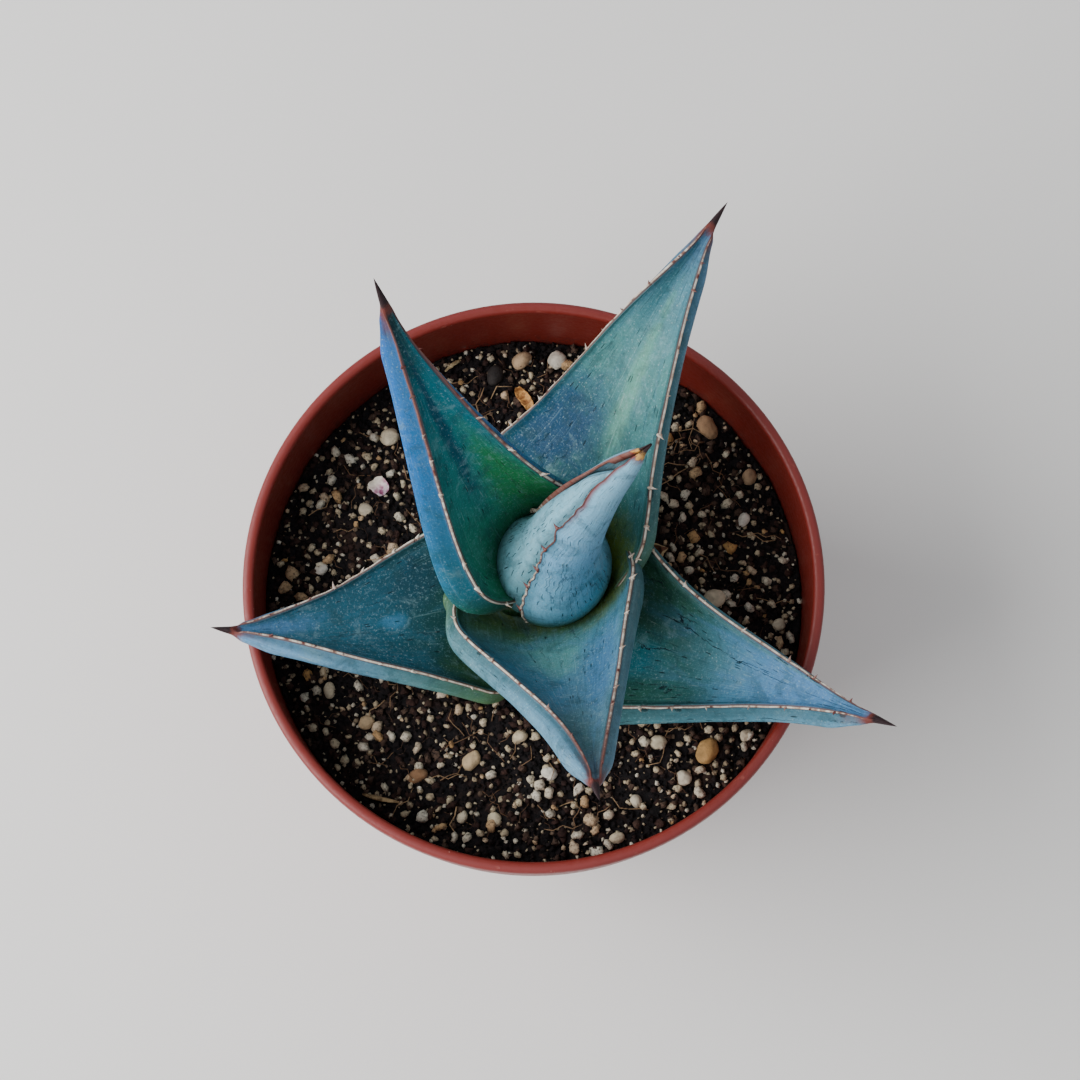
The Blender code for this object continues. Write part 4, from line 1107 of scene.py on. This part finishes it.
# place on the soil, length, width, height and turn of each grain, and its colour. The places were
# worked out by another program, and nine of them differ from its numbers
grains = [
    (36.5, -32.7, 5.8, 4.2, 3.6, 70, rgb(190, 148, 92)), (26.0, -31.0, 3.6, 3.0, 2.8, 20, rgb(214, 200, 170)),
    (31.5, -38.7, 3.3, 3.1, 2.8, 0, rgb(210, 198, 176)), (44.8, -29.4, 2.9, 2.3, 2.2, 40, rgb(206, 190, 164)),
    (21.4, -43.3, 2.9, 2.4, 2.2, 110, rgb(202, 190, 168)),
    (17.4, -51.0, 3.1, 2.4, 2.2, 10, rgb(200, 182, 154)),
    (3.2, -37.7, 3.0, 2.7, 2.5, 0, rgb(228, 220, 206)), (-2.9, -30.2, 3.6, 2.8, 2.7, 35, rgb(206, 188, 156)),
    (-13.0, -34.9, 4.4, 3.7, 3.3, 80, rgb(200, 174, 136)),
    (-24.3, -38.1, 4.0, 3.1, 2.8, 25, rgb(150, 112, 80)),
    (-8.3, -47.1, 3.2, 2.6, 2.4, 130, rgb(212, 196, 164)),
    (-15.0, -46.7, 3.0, 2.4, 2.3, 60, rgb(208, 194, 168)),
    (-35.4, -26.8, 4.1, 3.2, 3.0, 15, rgb(192, 164, 128)),
    (-43.2, -19.9, 3.2, 2.6, 2.5, 95, rgb(213, 198, 170)),
    (-45.5, 6.3, 3.0, 2.4, 2.4, 50, rgb(230, 222, 208)),
    (-36.3, 19.0, 3.4, 2.8, 2.6, 150, rgb(212, 196, 170)),
    (-31.3, 35.1, 4.6, 3.7, 3.3, 30, rgb(222, 206, 176)), (-2.6, 52.6, 4.6, 3.7, 3.3, 10, rgb(200, 168, 132)),
    (4.9, 53.0, 4.2, 3.4, 3.2, 60, rgb(226, 216, 198)), (-8.4, 49.4, 4.1, 3.6, 3.0, 75, rgb(52, 46, 44)),
    (38.5, -0.5, 4.6, 3.8, 3.4, 20, rgb(220, 204, 176)), (45.0, 17.0, 3.4, 2.8, 2.7, 85, rgb(228, 220, 206)),
    (37.6, 37.8, 5.2, 3.6, 2.8, 120, rgb(170, 134, 100)), (46.6, 26.6, 3.6, 2.9, 2.6, 65, rgb(180, 148, 116)),
    (52.4, -5.7, 3.0, 2.5, 2.4, 0, rgb(214, 202, 176)),
]
grainSizes = dict(sink=0.18, pits=0.05, facets=0.10)


def makeGrain(number, x, y, length, width, height, turn):
    chance = random.Random(number * 7 + 1)
    waves = [(Vector([chance.uniform(-1, 1) for i in range(3)]) * 5.0,
              chance.uniform(0, 6)) for i in range(4)]
    bm = bmesh.new()
    bmesh.ops.create_icosphere(bm, subdivisions=4, radius=0.5)
    spin = math.radians(turn)
    base = float(soilLevel(x, y)) + height * (0.5 - grainSizes["sink"]) - 0.4
    for vert in bm.verts:
        at = vert.co.copy()
        swell = 1.0 + 0.07 * sum(math.sin(at.dot(wave) + phase) for wave, phase in waves)
        facet = noise.cell(at * 3.1 + Vector((number, 0, 0)))
        swell += grainSizes["facets"] * (noise.noise(at * 3.4 + Vector((number, 7, 1))) - 0.1)
        swell += grainSizes["pits"] * noise.noise(at * 14.0 + Vector((facet * 0.02, number, 3)))
        long, wide = at.x * swell * length, at.y * swell * width
        vert.co = Vector((x + long * math.cos(spin) - wide * math.sin(spin),
                          y + long * math.sin(spin) + wide * math.cos(spin),
                          base + at.z * swell * height)) * mm
    mesh = bpy.data.meshes.new("gritStone%02d" % number)
    bm.to_mesh(mesh)
    bm.free()
    return finishMesh("gritStone%02d" % number, mesh)


def stoneFinish(name, tint, shift):
    look = Finish(name, 0.8, Specular_IOR_Level=0.35)
    spot = look.stretch(shift=(shift, 0.0, 0.0))
    wide = look.cloud(spot, 0.45, 4.0, 0.6)
    fine = look.cloud(spot, 2.2, 5.0, 0.7)
    color = look.mix(look.step(wide, 0.35, 0.7), tint, tuple(c * 0.62 for c in tint))
    color = look.mix(look.step(fine, 0.55, 0.75, 0.0, 0.6), color, tuple(c * 0.35 for c in tint))
    return look.done(color, 0.8, fine, 0.00025)


for number, (x, y, length, width, height, turn, tint) in enumerate(grains, 1):
    stone = makeGrain(number, x, y, length, width, height, turn)
    node = "grain_%02d" % number
    settle(stone, stoneFinish("gritStoneSkin%02d" % number, tint, number * 9.0), node, node)
print("large grains", len(grains))


litter = {
    "amber_curl": dict(path=[(-3.6, 46.6, 0.3), (-3.0, 45.0, 1.0), (-2.0, 43.6, 1.3), (-1.2, 42.2, 1.1),
                             (-0.8, 40.8, 0.4)],
                       halfWidth=1.3, halfThick=0.45, curl=0.5, dark=rgb(130, 78, 30),
                       pale=rgb(204, 150, 84)),
    "petal_scrap": dict(path=[(-34.6, 25.6, 0.5), (-33.8, 24.6, 1.3), (-32.8, 23.6, 1.6), (-31.8, 22.8, 0.9)],
                        halfWidth=1.9, halfThick=0.4, curl=0.6, dark=rgb(170, 90, 130),
                        pale=rgb(236, 214, 222)),
    "straw_back": dict(path=[(-19.4, 50.4, 0.4), (-17.6, 51.8, 1.2), (-16.0, 52.8, 0.8)],
                       halfWidth=0.45, halfThick=0.4, curl=0.0, dark=rgb(130, 108, 74),
                       pale=rgb(196, 176, 136)),
    "straw_front": dict(path=[(-36.0, -41.8, 0.4), (-32.6, -42.8, 0.9), (-28.2, -43.6, 0.4)],
                        halfWidth=0.5, halfThick=0.4, curl=0.0, dark=rgb(120, 92, 60),
                        pale=rgb(190, 160, 116)),
}


def makeStrip(name, strip, steps=44, sides=22):
    # flat strand along its path; a little crumpled
    marks = np.linspace(0, 1, len(strip["path"]))
    path = np.array([[x, y, float(soilLevel(x, y)) + rise] for x, y, rise in strip["path"]])
    t = np.linspace(0, 1, steps)
    line = np.stack([curveThrough(t, list(zip(marks, path[:, i]))) for i in range(3)], axis=1)
    heading = np.gradient(line, axis=0)
    heading /= np.linalg.norm(heading, axis=1)[:, None]
    across = np.cross(heading, [0, 0, 1])
    across /= np.linalg.norm(across, axis=1)[:, None]
    above = np.cross(across, heading)
    end = np.sin(math.pi * (0.06 + 0.88 * t)) ** 0.6
    seed = len(name)
    rings = []
    for i in range(steps):
        ring = []
        for k in range(sides):
            turn = 2 * math.pi * k / sides
            wide = math.cos(turn) * strip["halfWidth"] * end[i]
            wide *= 1 + 0.18 * noise.noise(Vector((t[i] * 7, round(math.cos(turn)), seed)))
            crease = 0.25 * strip["halfThick"] * noise.noise(Vector((t[i] * 6, math.cos(turn) * 2, seed + 4)))
            bend = strip["curl"] * math.cos(turn) ** 2 * strip["halfWidth"] * end[i]
            ring.append(line[i] + across[i] * wide
                        + above[i] * (math.sin(turn) * strip["halfThick"] * end[i] * 0.8 + bend + crease))
        rings.append(ring)
    return ringMesh(name + "_strip", np.array(rings), {"along": np.outer(t, np.ones(sides))})


def stripFinish(name, strip):
    look = Finish(name + "Skin", 0.7)
    spot = look.stretch()
    wide = look.cloud(spot, 0.7, 4.0, 0.6)
    fine = look.cloud(spot, 2.5, 3.0)
    color = look.mix(look.step(wide, 0.38, 0.62), strip["dark"], strip["pale"])
    if name == "petal_scrap":
        color = look.mix(look.step(look.mark("along"), 0.25, 0.75), rgb(232, 222, 206), color)
    return look.done(color, 0.7, fine, 0.0002)


for name, strip in litter.items():
    settle(makeStrip(name, strip), stripFinish(name, strip), name, name)
print("curl, petal and straws")


scatterSizes = dict(
    inset=1.6, clear=13.0, rings=46, sides=150,
    crumbs=dict(density=800000.0, gap=0.0, low=0.4, high=1.3, seed=4, lift=0.15),
    grit=dict(density=300000.0, gap=0.0009, low=0.25, high=0.8, seed=9, lift=0.3),
    pebbles=dict(density=170000.0, gap=0.0019, low=0.6, high=1.7, seed=15, lift=0.4),
    fibres=dict(density=80000.0, gap=0.0, low=0.5, high=2.0, seed=21, lift=0.5))


def makePatch(look):
    # open copy of the soil's top that the scatter stands on
    inside = potInside(potSizes)
    edge = inside[1][0] - look["inset"]
    turns = np.linspace(0, 2 * math.pi, look["sides"], endpoint=False)
    points, faces = [], []
    n = look["sides"]
    for i in range(look["rings"]):
        k = i / (look["rings"] - 1)
        for t in turns:
            x = (1 - k) * plantX + math.cos(t) * ((1 - k) * look["clear"] + k * edge)
            y = (1 - k) * plantY + math.sin(t) * ((1 - k) * look["clear"] + k * edge)
            points.append((x * mm, y * mm, soilRough(x, y) * mm))
    for i in range(look["rings"] - 1):
        for k in range(n):
            j = (k + 1) % n
            faces.append((i * n + k, (i + 1) * n + k, (i + 1) * n + j, i * n + j))
    mesh = bpy.data.meshes.new("soilPatch")
    mesh.from_pydata(points, [], faces)
    thing = bpy.data.objects.new("soilPatch", mesh)
    bpy.context.collection.objects.link(thing)
    return thing


def nugget(name, rings, sides, rough, seed, flat=0.8):
    # small closed lump about 2 mm across, few faces
    chance = random.Random(seed)
    loops = []
    for i in range(rings):
        t = math.pi * (i + 0.75) / (rings + 0.5)
        loop = []
        for k in range(sides):
            r = 1.0 + chance.uniform(-rough, rough)
            turn = 2 * math.pi * (k + 0.5 * (i % 2)) / sides
            loop.append((r * math.sin(t) * math.cos(turn), r * math.sin(t) * math.sin(turn),
                         flat * r * math.cos(t)))
        loops.append(loop)
    return ringMesh(name, np.array(loops))


def strand(name, seed):
    # thin bent fibre about 4 mm long
    chance = random.Random(seed)
    line = [np.array([i - 2.0, chance.uniform(-0.5, 0.5), chance.uniform(-0.3, 0.3)]) * 1.1 for i in range(5)]
    loops = [[point + np.array([0, math.cos(a), math.sin(a)]) * 0.07 for a in (0.5, 2.6, 4.7)] for point in line]
    return ringMesh(name, np.array(loops))


def scatterTree(shapes):
    shapeInputs = [("Shape %d" % (i + 1), "Object", None) for i in range(shapes)]
    tree, start, end = newTree("soilScatter", shapeInputs + [
        ("Density", "Float", 1000.0), ("Gap", "Float", 0.0), ("Smallest", "Float", 0.5),
        ("Largest", "Float", 1.0),
        ("Lift", "Float", 0.0), ("Lie Flat", "Float", 0.0), ("Seed", "Int", 1), ("Finish", "Material", None)])
    spread = plug(tree, "GeometryNodeDistributePointsOnFaces",
                  [(0, start["Geometry"]), (2, start["Gap"]), (3, start["Density"]),
                   (6, start["Seed"])], distribute_method="POISSON")
    size = plug(tree, "FunctionNodeRandomValue", [(8, start["Seed"])], data_type="FLOAT")
    small = plug(tree, "ShaderNodeMath", [(0, size.outputs[1]), (1, 2.2)], operation="POWER")
    scale = plug(tree, "ShaderNodeMapRange", [(0, small.outputs[0]), (3, start["Smallest"]),
                                              (4, start["Largest"])])
    other = plug(tree, "ShaderNodeMath", [(0, start["Seed"]), (1, 31.0)], operation="ADD")
    squeeze = plug(tree, "FunctionNodeRandomValue",
                   [(0, (0.75, 0.7, 0.6)), (1, (1.25, 1.1, 1.0)), (8, other.outputs[0])],
                   data_type="FLOAT_VECTOR")
    grown = plug(tree, "ShaderNodeVectorMath", [(0, squeeze.outputs[0])], operation="SCALE")
    tree.links.new(scale.outputs[0], grown.inputs["Scale"])
    tilt = plug(tree, "ShaderNodeMath", [(0, 3.14), (1, start["Lie Flat"])], operation="MULTIPLY")
    tiltBox = plug(tree, "ShaderNodeCombineXYZ", [(0, tilt.outputs[0]), (1, tilt.outputs[0]), (2, 6.283)])
    turn = plug(tree, "FunctionNodeRandomValue", [(0, (0.0, 0.0, 0.0)), (1, tiltBox.outputs[0]),
                                                  (8, other.outputs[0])],
                data_type="FLOAT_VECTOR")
    raised = plug(tree, "ShaderNodeMath", [(0, scale.outputs[0]), (1, start["Lift"])], operation="MULTIPLY")
    metres = plug(tree, "ShaderNodeMath", [(0, raised.outputs[0]), (1, mm)], operation="MULTIPLY")
    up = plug(tree, "ShaderNodeCombineXYZ", [(2, metres.outputs[0])])
    moved = plug(tree, "GeometryNodeSetPosition", [(0, spread.outputs[0]), (3, up.outputs[0])])
    kinds = plug(tree, "GeometryNodeGeometryToInstance")
    for i in range(shapes):
        info = plug(tree, "GeometryNodeObjectInfo", [(0, start["Shape %d" % (i + 1)])])
        tree.links.new(info.outputs["Geometry"], kinds.inputs[0])
    pick = plug(tree, "FunctionNodeRandomValue", [(4, 0), (5, shapes - 1), (8, other.outputs[0])],
                data_type="INT")
    laid = plug(tree, "GeometryNodeInstanceOnPoints",
                [(0, moved.outputs[0]), (2, kinds.outputs[0]), (3, True), (4, pick.outputs[2]),
                 (5, turn.outputs[0]),
                 (6, grown.outputs[0])])
    shade = plug(tree, "FunctionNodeRandomValue", [(8, start["Seed"])], data_type="FLOAT")
    tint = plug(tree, "GeometryNodeStoreNamedAttribute",
                [(0, laid.outputs[0]), (2, "tint"), (3, shade.outputs[1])],
                data_type="FLOAT", domain="INSTANCE")
    endTree(tree, tint, start, end)
    return tree


def scatter(name, patch, shapes, kind, finish, flat=1.0):
    tree = scatterTree(len(shapes))
    settings = {"Shape %d" % (i + 1): shape for i, shape in enumerate(shapes)}
    settings.update({"Density": kind["density"], "Gap": kind["gap"], "Smallest": kind["low"],
                     "Largest": kind["high"],
                     "Lift": kind["lift"], "Lie Flat": flat, "Seed": kind["seed"], "Finish": finish})
    result = runTree(patch, tree, settings, name)
    settle(result, None, "soil")
    print(name, len(result.data.polygons))
    return result


def crumbFinish():
    look = Finish("peatCrumb", 0.95, Specular_IOR_Level=0.25)
    fine = look.cloud(look.stretch(), 2.0, 4.0, 0.7)
    color = look.ramp(look.mark("tint"), [(0.0, rgb(7, 6, 8)), (0.5, rgb(17, 14, 16)), (0.8, rgb(30, 22, 23)),
                                          (0.95, rgb(66, 44, 38)), (1.0, rgb(96, 76, 64))])
    color = look.veil(color, fine, 0.4, 0.7, 0.7, rgb(8, 6, 6))
    return look.done(color, 0.95, fine, 0.0004)


def gritFinish():
    look = Finish("paleGrit", 0.85, Specular_IOR_Level=0.3)
    fine = look.cloud(look.stretch(), 1.6, 5.0, 0.7)
    color = look.ramp(look.mark("tint"), [(0.0, rgb(84, 66, 54)), (0.2, rgb(130, 112, 92)),
                                          (0.42, rgb(172, 154, 126)),
                                          (0.7, rgb(200, 184, 154)), (0.88, rgb(216, 208, 190)),
                                          (1.0, rgb(186, 142, 88))])
    color = look.veil(color, fine, 0.45, 0.68, 0.85, rgb(66, 50, 40))
    return look.done(color, 0.85, fine, 0.0003)


def fibreFinish():
    look = Finish("peatFibre", 0.9)
    fine = look.cloud(look.stretch(), 2.0, 3.0)
    color = look.ramp(look.mark("tint"), [(0.0, rgb(26, 16, 12)), (0.5, rgb(66, 42, 30)),
                                          (0.8, rgb(116, 84, 58)),
                                          (1.0, rgb(160, 130, 96))])
    color = look.veil(color, fine, 0.5, 0.7, 0.5, rgb(22, 14, 12))
    return look.done(color, 0.9, fine, 0.0001)


patch = makePatch(scatterSizes)
wallPatch = makePatch(dict(scatterSizes, inset=0.5))
crumbShapes = [nugget("crumbShape%d" % i, 2, 5, 0.42, i) for i in range(3)]
gritShapes = [nugget("gritShape%d" % i, 3, 7, 0.3, i + 10) for i in range(4)]
fibreShapes = [strand("fibreShape%d" % i, i + 20) for i in range(3)]
scatter("soil_crumbs", wallPatch, crumbShapes, scatterSizes["crumbs"], crumbFinish())
scatter("soil_grit", wallPatch, gritShapes, scatterSizes["grit"], gritFinish())
scatter("soil_pebbles", patch, gritShapes, scatterSizes["pebbles"], gritFinish())
innerPatch = makePatch(dict(scatterSizes, inset=5.5))
scatter("soil_fibres", innerPatch, fibreShapes, scatterSizes["fibres"], fibreFinish(), 0.12)
dropHelpers(patch, wallPatch, innerPatch, *crumbShapes, *gritShapes, *fibreShapes)
